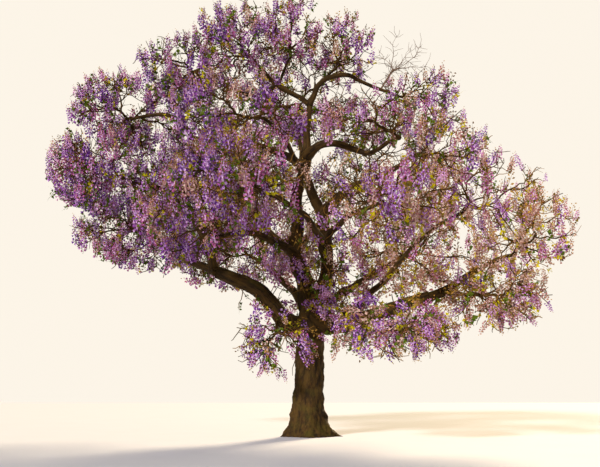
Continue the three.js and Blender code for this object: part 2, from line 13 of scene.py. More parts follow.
import bpy
import numpy as np
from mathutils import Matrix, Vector

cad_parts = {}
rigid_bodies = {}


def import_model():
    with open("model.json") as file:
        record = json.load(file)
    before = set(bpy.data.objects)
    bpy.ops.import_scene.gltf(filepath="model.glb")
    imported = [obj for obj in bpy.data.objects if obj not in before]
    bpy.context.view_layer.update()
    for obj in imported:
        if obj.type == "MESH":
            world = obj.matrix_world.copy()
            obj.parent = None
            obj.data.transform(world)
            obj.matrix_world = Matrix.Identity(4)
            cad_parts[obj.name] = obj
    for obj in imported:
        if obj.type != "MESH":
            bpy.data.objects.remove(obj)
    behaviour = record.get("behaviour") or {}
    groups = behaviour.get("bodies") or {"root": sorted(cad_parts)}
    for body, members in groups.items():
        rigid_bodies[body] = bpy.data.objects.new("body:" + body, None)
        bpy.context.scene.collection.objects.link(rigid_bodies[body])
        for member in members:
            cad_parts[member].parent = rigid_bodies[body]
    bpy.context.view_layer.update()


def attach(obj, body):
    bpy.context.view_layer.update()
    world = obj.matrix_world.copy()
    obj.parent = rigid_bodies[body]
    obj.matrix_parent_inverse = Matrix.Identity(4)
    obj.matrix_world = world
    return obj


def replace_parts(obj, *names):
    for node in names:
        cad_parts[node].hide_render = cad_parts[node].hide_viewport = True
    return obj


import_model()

# %% [markdown]
# ## The view
# The tree is seen from eye level, about 27 m from its trunk, and the camera is tilted up at
# the crown. The lens is given as a focal length in pixels of the picture, which is how it was
# measured, and turned into Blender's millimetres. No shift is needed for this framing.

# %% The camera
EYE = (-0.2, -26.6, 1.53)
TILT = math.radians(10.957)
FOCAL_PX = 798
PICTURE_WIDTH_PX = 600

camera = bpy.data.objects.new("camera", bpy.data.cameras.new("camera"))
bpy.context.scene.collection.objects.link(camera)
bpy.context.scene.camera = camera
camera.location = EYE
camera.rotation_euler = (math.pi / 2 + TILT, 0, 0)
camera.data.sensor_width = 36
camera.data.lens = camera.data.sensor_width * FOCAL_PX / PICTURE_WIDTH_PX
print("lens", round(camera.data.lens, 1), "mm")

# %% [markdown]
# ## The tree's measures
# These are the driving sizes of the tree's solids, in metres. A limb leaves its parent at a
# share of the parent's length, and runs to a tip given by its heading in plan (0 is +X and
# -90 the front), its reach from the tree's axis and its height. Rise and sway bend its two
# inner thirds. A small class gives each number its name and keeps a limb to one line.

# %% The trunk and the limbs
@dataclass
class Limb:
    parent: str
    at: float
    heading: float
    reach: float
    height: float
    rise: tuple
    sway: tuple
    thick: tuple


TRUNK_HEIGHT, TRUNK_LEAN = 4.1, 0.2
COLUMN, CROTCH = 0.48, 0.43
FLARE, FLARE_HEIGHT, BUTTRESSES, BUTTRESS, SPREAD_RIGHT = 0.38, 0.45, 5, 0.1, 0.12
COLLAR, COLLAR_LENGTH = 0.35, 1.5

LIMBS = {
    "leader": Limb("trunk", 1, 0, 0, 9.5, (-0.5, -0.5), (0.4, 0.1), (0.28, 0.17)),
    "front_stem": Limb("trunk", 0.97, -114, 1, 9, (-0.2, -0.1), (-1.4, -1), (0.22, 0.14)),
    "top_stem": Limb("leader", 1, 0, 0.1, 11.3, (-0.1, 0), (-0.1, -0.2), (0.14, 0.1)),
    "right_arch": Limb("leader", 0.97, -19, 2.1, 9.3, (0.8, 0.2), (0.2, 0.1), (0.15, 0.09)),
    "right_upper": Limb("right_arch", 1, -21, 3.3, 9.7, (-0.2, 0.2), (-0.1, 0), (0.08, 0.06)),
    "upper_left": Limb("front_stem", 1, -160, 4, 9.6, (0.5, 0.1), (0, -0.1), (0.13, 0.09)),
    "left_shoulder": Limb("upper_left", 1, 178, 6.4, 10.7, (1, 0.5), (0.1, -0.1), (0.08, 0.05)),
    "left_arch": Limb("leader", 0.33, -139, 3.6, 6.1, (0.3, 0.6), (-0.2, 0), (0.15, 0.08)),
    "low_left": Limb("trunk", 0.78, -165, 3.1, 5.3, (0, 0.4), (-0.2, -0.1), (0.3, 0.2)),
    "left_rising": Limb("low_left", 1, 180, 5.7, 8.4, (0.6, 1.2), (-0.2, 0.3), (0.15, 0.07)),
    "left_reaching": Limb("low_left", 0.97, 161, 5.8, 6.7, (-0.1, 0.1), (-0.1, -0.1), (0.14, 0.07)),
    "crown_left_fork": Limb("top_stem", 1, -164, 1.1, 11.9, (0.1, 0.1), (0, 0), (0.09, 0.085)),
    "crown_far_left": Limb("crown_left_fork", 0.97, -161, 3.6, 12.1, (-1, -0.5), (0, -0.1),
                           (0.07, 0.045)),
    "crown_left": Limb("crown_left_fork", 1, -174, 1.8, 12.8, (0, 0), (-0.1, 0), (0.065, 0.045)),
    "crown_top": Limb("crown_left_fork", 0.9, 133, 0.8, 13.3, (0, 0), (-0.1, -0.1), (0.06, 0.04)),
    "crown_right_fork": Limb("top_stem", 0.97, 11, 1.6, 12.5, (0.4, 0.6), (0.1, -0.1), (0.1, 0.08)),
    "crown_right": Limb("crown_right_fork", 0.45, 36, 1.3, 12.9, (0, 0), (-0.1, -0.1), (0.06, 0.04)),
    "right_shoulder": Limb("crown_right_fork", 1, 8, 3, 11.9, (0, 0), (-0.1, -0.1), (0.075, 0.055)),
    "right_mid": Limb("front_stem", 0.62, -22, 3.8, 9, (0.5, -0.2), (0.5, 0), (0.13, 0.07)),
    "low_right": Limb("trunk", 0.95, -24, 4.2, 4.3, (-0.6, -0.2), (-0.1, 0.1), (0.3, 0.18)),
    "right_reaching": Limb("low_right", 1, -12, 6.7, 5.7, (0, 0.2), (0.4, 0.2), (0.13, 0.06)),
    "right_drooping": Limb("low_right", 0.97, -30, 5.4, 4.3, (0, 0.2), (-0.1, 0), (0.09, 0.05)),
    "right_inner": Limb("low_right", 0.22, 24, 6.3, 7.9, (-0.4, 0.6), (0.1, -0.4), (0.13, 0.06)),
    "back_left": Limb("leader", 0.25, 116, 5.6, 8.9, (0, 0), (0.1, 0.2), (0.15, 0.07)),
    "back_left_low": Limb("trunk", 0.9, 113, 4.4, 6.3, (0.2, 0.2), (0.2, 0.2), (0.18, 0.08)),
    "back_right": Limb("leader", 0.4, 68, 4.8, 9.3, (-0.2, -0.2), (-0.2, -0.2), (0.14, 0.07)),
    "back_right_low": Limb("trunk", 0.92, 52, 5.2, 6.2, (0.1, 0.1), (-0.2, -0.2), (0.18, 0.08)),
    "back_high": Limb("leader", 0.85, 96, 3.5, 12.1, (0, 0), (0.1, 0.1), (0.1, 0.05)),
    "front_left": Limb("front_stem", 0.35, -105, 4.4, 7, (0.2, 0.3), (-0.4, -0.5), (0.13, 0.06)),
    "front_right": Limb("front_stem", 0.45, -65, 4.8, 6.7, (0.2, 0.2), (0.2, 0.2), (0.12, 0.06)),
    "front_low": Limb("low_right", 0.45, -50, 3.2, 3.2, (0, -0.1), (0.1, 0.1), (0.1, 0.05)),
    "front_top": Limb("front_stem", 0.92, -113, 3.3, 9.7, (0.2, 0.2), (-0.1, -0.1), (0.09, 0.05)),
    "low_shoot": Limb("trunk", 0.62, -128, 1.4, 3.6, (0.25, 0.35), (0, -0.1), (0.09, 0.05)),
}
print(len(LIMBS), "limbs on the trunk")

# %% [markdown]
# A cloud of blossom fills a flattened ball about its middle, up to the flat faces where it
# meets its neighbours. It carries on from the tip of the limb it is named for, or from the
# side of another. The bare one is a dead branch that has kept its twigs.

# %% The clouds of blossom
@dataclass
class Cloud:
    heading: float
    reach: float
    height: float
    wide: float
    deep: float
    tall: float
    on: str = ""
    at: float = 1
    bare: bool = False


CLOUDS = {
    "right_upper": Cloud(-30, 2.6, 10.2, 2.4, 2.4, 1.1),
    "left_shoulder": Cloud(176, 6.3, 11.1, 2.2, 2.7, 1.6),
    "left_arch": Cloud(-140, 4.3, 6.8, 2.2, 2.8, 1.7),
    "left_rising": Cloud(-178, 6.7, 8.8, 2.3, 2.7, 1.8),
    "left_reaching": Cloud(155, 6.6, 7.3, 2.9, 2.8, 1.7),
    "crown_far_left": Cloud(-166, 4.3, 12, 1.8, 2.3, 1.3),
    "crown_left": Cloud(-174, 2.4, 13.3, 1.9, 2.6, 1.6),
    "crown_top": Cloud(144, 0.7, 13.9, 1.8, 2.4, 1.5),
    "crown_right": Cloud(29, 1.45, 13.5, 1.6, 2.4, 1.4),
    "right_shoulder": Cloud(15, 4, 11.8, 1.9, 2.6, 1.5),
    "right_mid": Cloud(-20, 4.5, 9.1, 2, 2.7, 1.3),
    "right_inner": Cloud(21, 7, 8.7, 2.7, 2.9, 1.75),
    "right_reaching": Cloud(-8, 7.2, 6.6, 1.8, 2.7, 1.5),
    "right_drooping": Cloud(-31, 6.5, 4.2, 1.7, 2.4, 1.2),
    "back_left": Cloud(121, 5.7, 10.5, 3.3, 3.2, 2.6),
    "back_left_low": Cloud(121, 5.5, 7.1, 3.1, 2.8, 1.9),
    "back_right": Cloud(57, 5.5, 10, 3.2, 3.1, 2.4),
    "back_right_low": Cloud(46, 6.3, 7, 2.9, 2.8, 1.9),
    "back_high": Cloud(92, 3.5, 12.7, 3.2, 2.8, 2.2),
    "front_left": Cloud(-111, 5, 7.3, 2.1, 2.7, 1.6),
    "front_right": Cloud(-63, 5.2, 6.6, 2.1, 2.7, 1.4),
    "front_low": Cloud(-54, 4.4, 3.2, 2, 2.3, 1.1),
    "front_top": Cloud(-122, 3.9, 9.7, 2.3, 2.6, 1.4),
    "low_shoot": Cloud(-124, 1.7, 2.95, 1.5, 0.95, 1.25),
    "inner_hanging": Cloud(-67, 1.6, 4.9, 0.95, 0.9, 1.7, "front_stem", 0.22),
    "dead_twigs": Cloud(8, 3.5, 13.3, 1.1, 0.9, 0.8, "right_shoulder", 0.8, True),
}
print(len(CLOUDS), "clouds")

# %% [markdown]
# ## Curves in space
# Every limb is a Bezier curve of four points. Points are NumPy arrays, because one line of
# NumPy then works on a single point and on thousands alike.

# %% Points and curves
UP = np.array([0.0, 0.0, 1.0])
EAST = np.array([1.0, 0.0, 0.0])


def place(heading, reach, height):
    angle = math.radians(heading)
    return np.array([reach * math.cos(angle), reach * math.sin(angle), height])


def unit(vectors):
    return vectors / np.linalg.norm(vectors, axis=-1, keepdims=True)


def blend(a, b, share):
    return a + (b - a) * share


def bezier(knots, share):
    t = np.asarray(share, float)[..., None]
    a, b, c, d = knots
    return (1 - t) ** 3 * a + 3 * (1 - t) ** 2 * t * b + 3 * (1 - t) * t * t * c + t ** 3 * d


def slope(knots, share):
    t = np.asarray(share, float)[..., None]
    a, b, c, d = knots
    return unit((1 - t) ** 2 * (b - a) + 2 * (1 - t) * t * (c - b) + t * t * (d - c))


MEASURED_POINTS = 201


def length_of(knots):
    line = bezier(knots, np.linspace(0, 1, MEASURED_POINTS))
    return np.linalg.norm(np.diff(line, axis=0), axis=1).sum()


def bent(start, tip, rise, sway):
    along = tip - start
    side = unit(np.cross(along, UP))
    lift = unit(np.cross(side, along))
    inner = [start + along * (i + 1) / 3 + lift * rise[i] + side * sway[i] for i in (0, 1)]
    return [start, *inner, tip]


# %% [markdown]
# ## The limbs
# A branch knows its curve and how thick it is at a share of its length. Where it springs from
# a limb's side, a collar swells its root.

# %% Every limb's curve and thickness
@dataclass
class Branch:
    knots: list
    length: float
    root: float
    tip: float
    collar: bool = False
    sunk: float = 0.0

    def thick(self, share):
        share = np.asarray(share, float)
        clear = np.maximum(0, share * self.length - self.sunk)
        collar = COLLAR * self.root * np.exp(-clear / (COLLAR_LENGTH * self.root))
        return blend(self.root, self.tip, share) + (collar if self.collar else 0)


def straight(start, end):
    return [start, blend(start, end, 1 / 3), blend(start, end, 2 / 3), end]


trunk_line = straight(np.zeros(3), np.array([TRUNK_LEAN, 0, TRUNK_HEIGHT]))
branches = {"trunk": Branch(trunk_line, length_of(trunk_line), CROTCH, CROTCH)}
for name, limb in LIMBS.items():
    parent = branches[limb.parent]
    knots = bent(bezier(parent.knots, limb.at), place(limb.heading, limb.reach, limb.height),
                 limb.rise, limb.sway)
    on_side = limb.at < 1
    branches[name] = Branch(knots, length_of(knots), *limb.thick, on_side,
                            float(parent.thick(limb.at)) if on_side else 0.0)
print("limbs of", round(sum(b.length for b in branches.values())), "m in all")

# %% [markdown]
# ## How a cloud fills its space
# Two clouds that meet are parted by a flat face, set so that each keeps its share of the way
# between their middles. A cloud's stem carries on from its limb into the cloud's heart.

# %% The spaces and their stems
HEART = 0.6
STEM_END, STEM_TAPER = 0.035, 0.85
CLEAR = 0.02


@dataclass
class Space:
    name: str
    bare: bool
    middle: np.ndarray
    size: np.ndarray
    stem: Branch
    normals: np.ndarray = None
    offsets: np.ndarray = None

    def reach(self, direction):
        return 1 / np.linalg.norm(direction / self.size)

    def holds(self, points):
        local = np.atleast_2d(points) - self.middle
        in_ball = np.linalg.norm(local / self.size, axis=1) < 1
        return in_ball & (local @ self.normals.T < self.offsets - CLEAR / 2).all(axis=1)


def stem_of(name, cloud, middle):
    on_side = cloud.at < 1
    limb = branches[cloud.on or name]
    tip = bezier(limb.knots, cloud.at)
    heart = blend(tip, middle, HEART)
    length = np.linalg.norm(heart - tip)
    direction = unit(heart - tip) if on_side else slope(limb.knots, 1)
    thick = STEM_END if on_side else STEM_TAPER * float(limb.thick(1))
    knots = [tip, tip + direction * length / 3, blend(heart, tip, 1 / 3), heart]
    return Branch(knots, length, thick, STEM_END)


spaces = []
for name, cloud in CLOUDS.items():
    middle = place(cloud.heading, cloud.reach, cloud.height)
    size = np.array([cloud.wide, cloud.deep, cloud.tall])
    spaces.append(Space(name, cloud.bare, middle, size, stem_of(name, cloud, middle)))
for space in spaces:
    others = [other for other in spaces if other is not space]
    ways = np.array([other.middle - space.middle for other in others])
    space.normals = unit(ways)
    shares = [space.reach(way) / (space.reach(way) + other.reach(way))
              for way, other in zip(space.normals, others)]
    space.offsets = np.linalg.norm(ways, axis=1) * shares
print("the largest space is", max(round(2 * s.size.max(), 1) for s in spaces), "m wide")

# %% [markdown]
# Twigs and sprays keep clear of every limb and stem but their own. Testing a twig against
# curves is slow, so each limb becomes a string of balls, and the test measures distances.

# %% Balls along the limbs
BALL_STEP, TEST_STEP = 0.1, 0.08
ball_owners, ball_centres, ball_sizes = [], [], []


def add_balls(owner, knots, length, thick):
    shares = np.linspace(0, 1, math.ceil(length / BALL_STEP) + 1)
    ball_owners.extend([owner] * len(shares))
    ball_centres.extend(bezier(knots, shares))
    ball_sizes.extend(thick(shares))


add_balls("trunk", trunk_line, TRUNK_HEIGHT, lambda shares: np.full(len(shares), COLUMN))
for name in LIMBS:
    add_balls(name, branches[name].knots, branches[name].length, branches[name].thick)
for space in spaces:
    add_balls("stem_" + space.name, space.stem.knots, space.stem.length, space.stem.thick)
ball_owners, ball_centres, ball_sizes = map(np.array, (ball_owners, ball_centres, ball_sizes))


def near_a_limb(points, thick, own):
    others = ball_owners != own
    gaps = np.linalg.norm(points[:, None] - ball_centres[others], axis=2)
    return bool((gaps < ball_sizes[others] + np.asarray(thick)[:, None] + CLEAR).any())


def touches(a, b, thick_at, own):
    steps = math.ceil(np.linalg.norm(b - a) / TEST_STEP)
    shares = np.arange(steps + 1) / steps
    return near_a_limb(blend(a, b, shares[:, None]), [thick_at(s) for s in shares], own)


print(len(ball_sizes), "balls")

# %% [markdown]
# ## The rule of growth
# Spray tips are spread evenly over the skin of a cloud, wound round it by the golden angle.
# A stem parts into three twigs, one for each group of tips, and each twig parts again until
# no more than five sprays are left on it. The rule is the solids' own, with the same plain
# random numbers, so the twigs here run where the solids' twigs do.

# %% Spray tips
SPRAY_LENGTH, SPRAY_WIDTH, BARE_WIDTH, WAIST = 1.25, 0.28, 0.016, 0.6
SPRAY_AREA, SPRAYS_PER_TWIG, FEWEST_SPRAYS = 2.95, 5, 9
SKIN, SKIN_DEPTH, OPEN_RAY = 0.97, 0.12, 0.5
SKIN_POWER = 1.6
FIRST_LEVEL, LEVEL_PLAY, TURN_PLAY = 0.2, 0.6, 0.5
GOLDEN_ANGLE = math.pi * (3 - math.sqrt(5))
FIRST_SEED = 1000


def seeded(seed):
    state = seed
    while True:
        state = (state * 1664525 + 1013904223) % 2 ** 32
        yield state / 2 ** 32


def skin_area(size):
    x, y, z = size
    total = (x * y) ** SKIN_POWER + (x * z) ** SKIN_POWER + (y * z) ** SKIN_POWER
    return 4 * math.pi * (total / 3) ** (1 / SKIN_POWER)


def open_share(space, ray):
    climbs = space.normals @ ray
    shares = space.offsets[climbs > 0] / climbs[climbs > 0]
    return shares.min(initial=1.0)


def spray_tips(space, seed):
    draw = seeded(seed)
    count = max(FEWEST_SPRAYS, math.floor(skin_area(space.size) / SPRAY_AREA + 0.5))
    spin = next(draw) * 2 * math.pi
    tips = []
    for i in range(count):
        level = 1 - 2 * (i + FIRST_LEVEL + LEVEL_PLAY * next(draw)) / count
        turn = i * GOLDEN_ANGLE + spin + TURN_PLAY * next(draw)
        flat = math.sqrt(1 - level * level)
        ray = np.array([flat * math.cos(turn), flat * math.sin(turn), level]) * space.size
        share = open_share(space, ray)
        if share > OPEN_RAY:
            tips.append(space.middle + ray * share * (SKIN - SKIN_DEPTH * next(draw)))
    return tips


# %% Parting into three
GROUPING_ROUNDS = 4


def gaps_between(points, centres):
    return np.linalg.norm(np.array(points)[:, None] - np.array(centres)[None], axis=2)


def three_groups(points):
    centres = [points[0]]
    while len(centres) < 3:
        centres.append(points[int(gaps_between(points, centres).min(axis=1).argmax())])
    for _ in range(GROUPING_ROUNDS):
        nearest = gaps_between(points, centres).argmin(axis=1)
        groups = [[p for p, n in zip(points, nearest) if n == k] for k in range(len(centres))]
        groups = [group for group in groups if group]
        centres = [np.mean(group, axis=0) for group in groups]
    return groups


# %% Growing the twigs
TWIG, TWIG_END, TWIG_TAPER, TWIG_SHARE = 0.026, 0.018, 0.8, 0.42
LAST_SHARE, LAST_SHORT = 0.25, 0.75
NECK, NECK_SHARE = 0.12, 0.4
SPACING, SPACING_SHARE = 0.12, 0.3
SHORTER, TRIES = 0.88, 6
FORKS_NEAR_TIP = (0.95, 0.83, 0.71)
AXES = np.vstack([np.eye(3), -np.eye(3)])


@dataclass
class Twig:
    space: Space
    points: list
    radii: list


@dataclass
class Spray:
    space: Space
    root: np.ndarray
    tip: np.ndarray


twigs, sprays = [], []


def spray_fits(space, root, tip):
    width = BARE_WIDTH if space.bare else SPRAY_WIDTH
    edge = blend(root, tip, WAIST) + AXES * width
    if not space.holds(np.vstack([edge, tip])).all():
        return False

    def thick_at(share):
        return width * (share / WAIST if share < WAIST else (1 - share) / (1 - WAIST))

    return not touches(root, tip, thick_at, "stem_" + space.name)


def bear_sprays(twig, tips, spring):
    ended = False
    for k, tip in enumerate(tips):
        root, end = spring(k), tip
        for _ in range(TRIES):
            if spray_fits(twig.space, root, end):
                break
            end = blend(root, end, SHORTER)
        if not spray_fits(twig.space, root, end):
            continue
        sprays.append(Spray(twig.space, root, end))
        ended = ended or k == 0
    twigs.append(twig)


def grow(twig, tips):
    start, thick = twig.points[-1], twig.radii[-1]
    way = np.mean(tips, axis=0) - start
    distance = np.linalg.norm(way)
    away = way / distance
    last = len(tips) <= SPRAYS_PER_TWIG
    ahead = TWIG_SHARE * distance
    if last:
        ahead = max(LAST_SHARE * distance, distance - LAST_SHORT * SPRAY_LENGTH)
    fork = start + away * ahead
    own = "stem_" + twig.space.name
    if not twig.space.holds(fork)[0] or touches(start, fork, lambda s: thick, own):
        if len(twig.points) > 1:
            twigs.append(twig)
        return
    thin = TWIG_END if last else TWIG_TAPER * thick
    if len(twig.points) == 1:
        twig.points.append(start + away * min(NECK, NECK_SHARE * ahead))
        twig.radii.append(thick)
    twig.points.append(fork)
    twig.radii.append(thin)
    apart = min(SPACING_SHARE, SPACING / ahead)

    def straightness(point):
        return -float(unit(point - fork) @ away)

    def spring(k):
        return blend(fork, start, k * apart)

    if last:
        bear_sprays(twig, sorted(tips, key=straightness), spring)
        return
    groups = sorted(three_groups(tips), key=lambda group: straightness(np.mean(group, axis=0)))
    for k, group in enumerate(groups):
        grow(twig if k == 0 else Twig(twig.space, [spring(k)], [thin]), group)


for index, space in enumerate(spaces):
    for k, group in enumerate(three_groups(spray_tips(space, FIRST_SEED + index))):
        grow(Twig(space, [bezier(space.stem.knots, FORKS_NEAR_TIP[k])], [TWIG]), group)
print(len(twigs), "twigs bear", len(sprays), "sprays")

# %% [markdown]
# ## Twigs that aren't ruled lines
# The rule gives each twig as a few points. A paulownia's shoots are crooked, so each stretch
# gets a middle point that is pushed a little to one side, and thins from its root to its tip.
# All the random numbers from here on come from one seeded generator.

# %% Crooked lines
rng = np.random.default_rng(17)
CROOK = 0.08


def crooked(points, radii, rounds=2):
    points, radii = np.array(points, float), np.array(radii, float)
    for _ in range(rounds):
        gaps = np.linalg.norm(np.diff(points, axis=0), axis=1)
        push = rng.normal(size=(len(gaps), 3)) * CROOK * gaps[:, None]
        middles = (points[1:] + points[:-1]) / 2 + push
        between = (radii[1:] + radii[:-1]) / 2
        points = np.insert(points, np.arange(1, len(points)), middles, axis=0)
        radii = np.insert(radii, np.arange(1, len(radii)), between)
    return points, radii


SPRAY_ROOT, SPRAY_END = 0.026, 0.012
DEAD_ROOT, DEAD_END = 0.013, 0.004
TWIG_SWELL = 1.7
twig_lines = []
for twig in twigs:
    swell = 1 if twig.space.bare else TWIG_SWELL
    twig_lines.append(crooked(twig.points, np.array(twig.radii) * swell))
spray_lines = []
for spray in sprays:
    ends = (DEAD_ROOT, DEAD_END) if spray.space.bare else (SPRAY_ROOT, SPRAY_END)
    spray_lines.append(crooked([spray.root, spray.tip], ends, 3))
grown_lines = [(owner.space, line) for owner, line in zip(twigs + sprays, twig_lines + spray_lines)]
live_lines = [(space, line) for space, line in grown_lines if not space.bare]
dead_lines = [line for space, line in grown_lines if space.bare]
print(len(live_lines), "live twigs and", len(dead_lines), "dead ones")

# %% [markdown]
# ## Where the crown is open
# A real crown isn't even: here and there one looks right through it. Each gap is an ellipse in
# the picture. Its row gives its middle across and down, half its width and half its height,
# all in pixels, and the share of the flowers that still stand in it. The shoots stay there,
# bare. Between the gaps, a slow noise makes some parts of a bough flower richly and others
# hardly at all. It is a sum of sine waves in random directions.

# %% The gaps in the crown
RICHNESS, PATCHY, PATCH_SIZE, PATCH_SEED = 0.95, 0.62, 2.1, 3
FLAT_PATCHES = np.array([1, 1, 2.2])
PICTURE_HEIGHT_PX = 467
GAPS = [
    (238, 75, 15, 7, 0.0),
    (290, 98, 16, 7, 0.0),
    (262, 86, 14, 8, 0.3),
    (345, 89, 40, 13, 0.12),
    (362, 55, 10, 10, 0.3),
    (385, 155, 13, 12, 0.0),
    (352, 166, 10, 15, 0.1),
    (374, 197, 25, 7, 0.1),
    (375, 240, 14, 14, 0.4),
    (402, 255, 15, 12, 0.3),
    (432, 245, 15, 9, 0.3),
    (490, 222, 9, 6, 0.3),
    (430, 205, 85, 70, 0.7),
    (212, 262, 18, 14, 0.1),
    (250, 264, 40, 20, 0.3),
    (275, 292, 26, 12, 0.1),
    (240, 236, 34, 7, 0.3),
    (283, 160, 20, 11, 0.1),
    (276, 190, 20, 12, 0.3),
    (280, 228, 14, 11, 0.1),
    (304, 196, 9, 50, 0.3),
    (258, 142, 32, 8, 0.35),
    (222, 222, 12, 9, 0.2),
    (150, 152, 22, 8, 0.3),
    (160, 235, 14, 9, 0.3),
    (366, 160, 36, 14, 0.35),
    (360, 200, 26, 12, 0.35),
    (372, 238, 24, 20, 0.4),
    (262, 345, 40, 32, 0.6),
    (196, 118, 14, 6, 0.2),
    (246, 112, 22, 8, 0.25),
    (212, 176, 18, 8, 0.3),
    (186, 204, 18, 8, 0.3),
    (238, 203, 14, 11, 0.2),
    (205, 232, 26, 8, 0.3),
    (150, 192, 14, 7, 0.3),
    (412, 242, 36, 20, 0.5),
    (338, 206, 38, 28, 0.25),
    (352, 168, 26, 9, 0.2),
]


WAVES, WAVE_RANGE = 9, (0.6, 1.6)


def swells(points, size, seed):
    draw = np.random.default_rng(seed)
    headings = unit(draw.normal(size=(WAVES, 3)))
    ways = headings * 2 * math.pi / size * draw.uniform(*WAVE_RANGE, (WAVES, 1))
    phases = draw.uniform(0, 2 * math.pi, WAVES)
    return np.sin(points @ ways.T + phases).sum(axis=-1) / math.sqrt(WAVES)


def picture_px(points):
    away = np.atleast_2d(points) - np.array(EYE)
    depth = away[:, 1] * math.cos(TILT) + away[:, 2] * math.sin(TILT)
    rise = away[:, 2] * math.cos(TILT) - away[:, 1] * math.sin(TILT)
    return (PICTURE_WIDTH_PX / 2 + FOCAL_PX * away[:, 0] / depth,
            PICTURE_HEIGHT_PX / 2 - FOCAL_PX * rise / depth)


def share_kept(point):
    x, y = picture_px(point)
    kept = [share for across, down, wide, tall, share in GAPS
            if ((x - across) / wide) ** 2 + ((y - down) / tall) ** 2 < 1]
    rich = RICHNESS + PATCHY * swells(point * FLAT_PATCHES, PATCH_SIZE, PATCH_SEED)
    return max(0.0, min(kept, default=1.0) * rich)


print(len(GAPS), "gaps")

# %% [markdown]
# ## Where the crown is sunny and full
# The sun stands low behind the tree, to its right. It reaches the right side of the crown and
# its very top, while the tier under the top lies in shade. Growth differs as well: the crown is
# fullest on its left and thin at the top and the right. Each rule is a ramp from place to
# place, which NumPy's interp gives.

# %% Sun and fullness
LEFT_TO_RIGHT, LIT = (-5, 5), (0.04, 0.85)
TIERS, TIERS_LIT = (8.5, 10.5, 12, 13.5), (1, 0.15, 0.15, 0.6)
HANG_BELOW, STAND_ABOVE = 2.5, 6.5
FULL_SIDE, THIN_SIDE, LOW_SIDE = 1.7, 0.72, 1.25
FULL_BELOW, THIN_TOP = 1.1, 0.7
FULL_TO_THIN, LOW_TO_MID, MID_TO_TOP = (-4, 6), (5, 7), (8, 13)


# This ramp is the mask for the painted sunlight and shade further on: the golden or dark bark, husks
# and leaves, and the petal tints.
def sunniness(point):
    by_side = np.interp(point[0], LEFT_TO_RIGHT, LIT)
    return float(by_side * np.interp(point[2], TIERS, TIERS_LIT))


def in_sun(point):
    return bool(rng.random() < sunniness(point))


def fullness(point):
    right = np.interp(point[2], LOW_TO_MID, (LOW_SIDE, THIN_SIDE))
    by_side = np.interp(point[0], FULL_TO_THIN, (FULL_SIDE, right))
    return float(by_side * np.interp(point[2], MID_TO_TOP, (FULL_BELOW, THIN_TOP)))


def level_of(point):
    return float(np.interp(point[2], (HANG_BELOW, STAND_ABOVE), (0, 1)))


print("sun at the middle of the right side", round(sunniness((6, 0, 7)), 2))

# %% [markdown]
# ## Side sprays
# Side sprays leave a spray at the golden angle, as buds do, and the last one carries it on.
# What would leave its cloud's space is tried again shorter, then left out.

# %% Side sprays
SIDES_PER_METRE, FEWEST_ON_SPRAY, FIRST_SIDE = 5, 3, 0.15
SIDE_LENGTH, SIDE_AT_ROOT, SIDE_FADE = (0.5, 1.0), 1.15, 0.35
SIDE_AHEAD, LAST_AHEAD = (0.2, 0.8), 2.5
SIDE_ROOT, SIDE_END = 0.019, 0.010
SHORTER_TRIES = (1, 0.75, 0.55, 0.35)
SIDES_KEPT = 0.94
OFF_VERTICAL = 0.01


def along(points, share):
    position = share * (len(points) - 1)
    i = min(int(position), len(points) - 2)
    return blend(points[i], points[i + 1], position - i)


def golden_sides(axis, count):
    across = unit(np.cross(axis, UP + OFF_VERTICAL * EAST))
    over = np.cross(axis, across)
    turns = rng.uniform(0, 2 * math.pi) + np.arange(count) * GOLDEN_ANGLE
    return [math.cos(turn) * across + math.sin(turn) * over for turn in turns]


side_sprays = []
for spray, (points, _) in zip(sprays, spray_lines):
    if spray.space.bare:
        continue
    axis = unit(points[-1] - points[0])
    reach = np.linalg.norm(spray.tip - spray.root)
    count = max(FEWEST_ON_SPRAY, round(reach * SIDES_PER_METRE * fullness(spray.tip)))
    for j, side in enumerate(golden_sides(axis, count)):
        share = blend(FIRST_SIDE, 1, (j + 1) / count)
        root = along(points, share)
        ahead = LAST_AHEAD if j == count - 1 else rng.uniform(*SIDE_AHEAD)
        way = unit(side + ahead * axis) * rng.uniform(*SIDE_LENGTH)
        way = way * (SIDE_AT_ROOT - SIDE_FADE * share)
        for shorter in SHORTER_TRIES:
            line = crooked([root, root + way * shorter], [SIDE_ROOT, SIDE_END])
            if spray.space.holds(blend(spray.space.middle, line[0], 1 / SIDES_KEPT)).all():
                side_sprays.append((spray.space, line))
                break
print(len(side_sprays), "side sprays")

# %% [markdown]
# Flowers also open close to the big limbs: short shoots spring from the sides of the boughs
# and hang their candles in front of them.

# %% Shoots on the boughs
SHOOTS_PER_METRE = 4.5
SHOOT_LENGTH = (0.45, 1.1)
LOWEST_SHOOT, HIGHEST_SHOOT = 3.4, 8.5
SHOOT_SINK, SHOOT_SCATTER = 0.6, 0.5

shoots = []
for name in LIMBS:
    branch = branches[name]
    count = round(branch.length * SHOOTS_PER_METRE)
    for j, side in enumerate(golden_sides(slope(branch.knots, 0.5), count)):
        share = (j + rng.random()) / count
        root = bezier(branch.knots, share) + side * SHOOT_SINK * float(branch.thick(share))
        if not LOWEST_SHOOT < root[2] < HIGHEST_SHOOT:
            continue
        way = unit(side + SHOOT_SCATTER * rng.normal(size=3))
        tip = root + way * rng.uniform(*SHOOT_LENGTH)
        shoots.append((None, crooked([root, tip], [SIDE_ROOT, SIDE_END])))
print(len(shoots), "shoots on the boughs")

# %% [markdown]
# Where older clusters have dropped, short bare spurs are left. They draw fine dark lace between
# the flowers, more of it high in the crown. The dead branch bears nothing else.

# %% Bare spurs
SPURS_PER_METRE, LOW_SPURS = 6, 0.3
SPUR_LENGTH, SPUR_AHEAD = (0.2, 0.55), 0.6
SPUR_ROOT, SPUR_END = 0.012, 0.006
DEAD_SPURS, DEAD_SPUR_ROOT = 9, 0.008


